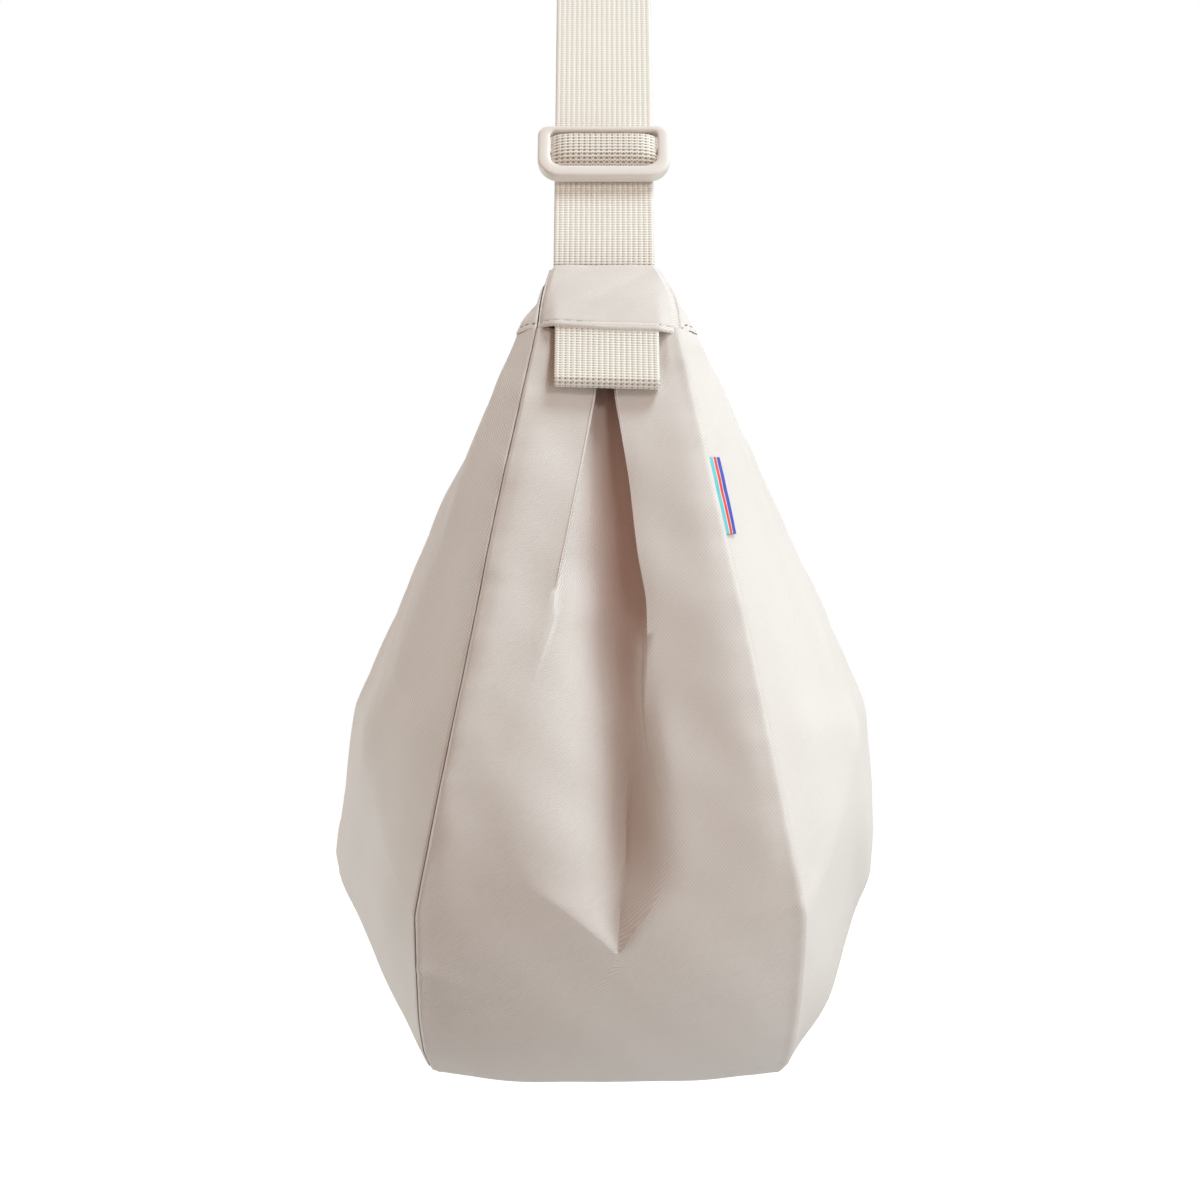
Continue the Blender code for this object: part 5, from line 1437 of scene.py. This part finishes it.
def joined(name, pieces, body, node):
    """Several meshes as one piece that stands for one node."""
    with bpy.context.temp_override(active_object=pieces[0], selected_editable_objects=pieces):
        bpy.ops.object.join()
    pieces[0].name = name
    dress(pieces[0], body, node)


# %% Stops, slider and puller
for stop_name, end, chain in (("left", -1, CHAIN_LEFT), ("right", 1, CHAIN_RIGHT)):
    shape = rounded_outline(0.0012, CHAIN_HALF_GAP + CHAIN_WIDTH, 0.0005, 5)
    low, middle = zip_top + GAP, (chain + end * 0.0015, 0, 0)
    stop = plate(f"{stop_name}_stop", shape, low, low + CHAIN_HEIGHT, 0.0003, middle)
    dress(stop, "bag", f"zip_{stop_name}_stop")

ZIP_X, ZIP_LONG = CHAIN_RIGHT - 0.0050 - GAP, 0.0050
zip_inner = CHAIN_HALF_GAP + CHAIN_WIDTH + 0.0005
zip_outer = zip_inner + 0.0010
zip_roof = zip_top + CHAIN_HEIGHT + 0.0005
zip_floor = zip_top - TAPE - GAP
body_line = rounded_outline(ZIP_LONG, zip_outer, 0.0022, 9)
body_line[:, 1] *= 1 - 0.22 * ramp(-body_line[:, 0] / ZIP_LONG, -0.2, 1.0)
at_slider = (ZIP_X, 0, 0)
parts = [plate("roof", body_line, zip_roof, zip_roof + 0.0010, 0.00035, at_slider)]
parts.append(plate("floor", body_line, zip_floor - 0.0010, zip_floor, 0.0003, at_slider))
for sign in (-1, 1):
    wall = rounded_outline(ZIP_LONG - 0.0018, 0.0005, 0.0003, 4)
    wall = wall + np.array([0.0012, sign * (zip_inner + 0.0005)])
    parts.append(plate("wall", wall, zip_top + GAP, zip_roof + 0.0003, 0.0001, at_slider))
post = rounded_outline(0.0010, CHAIN_HALF_GAP - GAP, 0.0002, 4) + np.array([ZIP_LONG - 0.0012, 0])
parts.append(plate("post", post, zip_floor - 0.0002, zip_roof + 0.0002, 0.00005, at_slider))
turns = np.linspace(0, math.pi, 17)
bail_x, bail_z = 0.0029 * np.cos(turns), 0.0017 * np.sin(turns) ** 0.6
bail_path = stack(ZIP_X + bail_x, zip_roof + 0.0008 + bail_z)
bail_ahead = unit(np.gradient(bail_path, axis=0))
around = circle(12)
bail = stack(
    bail_path[:, None, 0] - bail_ahead[:, None, 1] * 0.0006 * np.sin(around),
    0.0009 * np.cos(around),
    bail_path[:, None, 1] + bail_ahead[:, None, 0] * 0.0006 * np.sin(around),
)
parts.append(loft("bail", bail, None, metal))
joined("zip_runner", parts, "zip_slider", "zip_slider")

PULLER_PIN, PULLER_LONG, PULLER_HALF = 0.0011, 0.0260, 0.0034
pin_z = zip_roof + 0.0010 + GAP + PULLER_PIN / 2
pull_half = 0.00055
head_x = -0.0023
head_out = rounded_outline(0.0029, 0.0024, 0.0016, 8) + np.array([head_x, 0])
head_in = rounded_outline(0.0018, 0.0013, 0.0009, 8) + np.array([head_x, 0])
turns = circle(12)
head_line = frame_places(head_out, head_in, np.cos(turns))
head = stack(head_line[..., 0] + ZIP_X, head_line[..., 1], pin_z + pull_half * np.sin(turns))
parts = [loft("head", head, None, metal, closed=True)]
long_half = (PULLER_LONG + head_x - 0.0022) / 2
grip = rounded_outline(long_half, PULLER_HALF, 0.0030, 9)
grip[:, 1] *= 0.62 + 0.38 * ramp(-grip[:, 0] / long_half, -1.0, -0.2)
grip = grip + np.array([-PULLER_LONG + long_half, 0])
parts.append(plate("grip", grip, pin_z - pull_half, pin_z + pull_half, 0.0003, at_slider))
joined("zip_pull", parts, "zip_puller", "zip_puller")
print("zip built")

# %% [markdown]
# ## Light and background
# Two broad lamps stand low, before and behind the bag, and light its two sides, so the end between
# them is shaded. One hangs high over the near end, and a smaller one before it draws the short
# shadows of the slider and the tab. The lamps are cool and the world is warm, so that a fold turns
# warm where the lamps don't reach. The bag hangs well above a pale floor, and where the camera
# looks past it, it sees plain white.


# %% Lights, world and floor
BAG_MIDDLE, FLOOR_Z, FLOOR_HALF = (0, 0, -0.42), -1.15, 6


def area_light(name, place, size, power, color):
    """Round lamp that faces the middle of the bag."""
    data = bpy.data.lights.new(name, "AREA")
    data.shape, data.size, data.energy, data.color = "DISK", size, power, color
    light = add_object(name, data)
    light.visible_camera = False
    light.location = place
    way = unit(np.array(BAG_MIDDLE, float) - np.array(place, float))
    light.rotation_euler = (math.acos(-way[2]), 0, math.atan2(-way[0], way[1]))
    bpy.context.view_layer.update()
    seen = -np.array(light.matrix_world)[:3, 2]
    print(name, "aims within", round(float(np.degrees(np.arccos(np.clip(seen @ way, -1, 1)))), 2), "degrees")


area_light("high_light", (-0.41, -0.88, 1.66), 0.9, 37, (0.75, 0.93, 1.0))
area_light("front_light", (-0.96, -2.06, -0.74), 1.0, 24.0, (0.78, 0.94, 1.0))
area_light("back_light", (0.59, 2.20, -0.74), 1.0, 25.5, (0.79, 0.97, 1.0))
area_light("end_light", (-1.69, -0.98, 0.80), 0.45, 9.5, (0.86, 0.96, 1.0))

world = bpy.data.worlds.new("studio_white")
bpy.context.scene.world = world
world.use_nodes = True
tree = world.node_tree
backdrop = tree.nodes["Background"]
rays = tree.nodes.new("ShaderNodeLightPath")
seen = calc("MAXIMUM", rays.outputs["Is Camera Ray"], rays.outputs["Is Glossy Ray"])
seen = calc("MAXIMUM", seen, rays.outputs["Is Transmission Ray"])
put(backdrop, "Color", blend_colors(seen, (1.0, 0.67, 0.49), (1, 1, 1)))
put(backdrop, "Strength", calc("MULTIPLY_ADD", seen, 0.61, 0.39))

floor_mesh = bpy.data.meshes.new("floor")
corners = [(x * FLOOR_HALF, y * FLOOR_HALF, FLOOR_Z) for x, y in ((-1, -1), (1, -1), (1, 1), (-1, 1))]
floor_mesh.from_pydata(corners, [], [(0, 1, 2, 3)])
floor = add_object("floor", floor_mesh)
floor_paint, tree, shader = new_material("floor_paint", 0.9)
put(shader, "Base Color", (0.60, 0.60, 0.60, 1))
put(shader, "Emission Color", (1, 1, 1, 1))
rays = tree.nodes.new("ShaderNodeLightPath")
put(shader, "Emission Strength", calc("MULTIPLY", rays.outputs["Is Camera Ray"], 0.93))
floor_mesh.materials.append(floor_paint)
bpy.context.scene.view_settings.view_transform = "Standard"
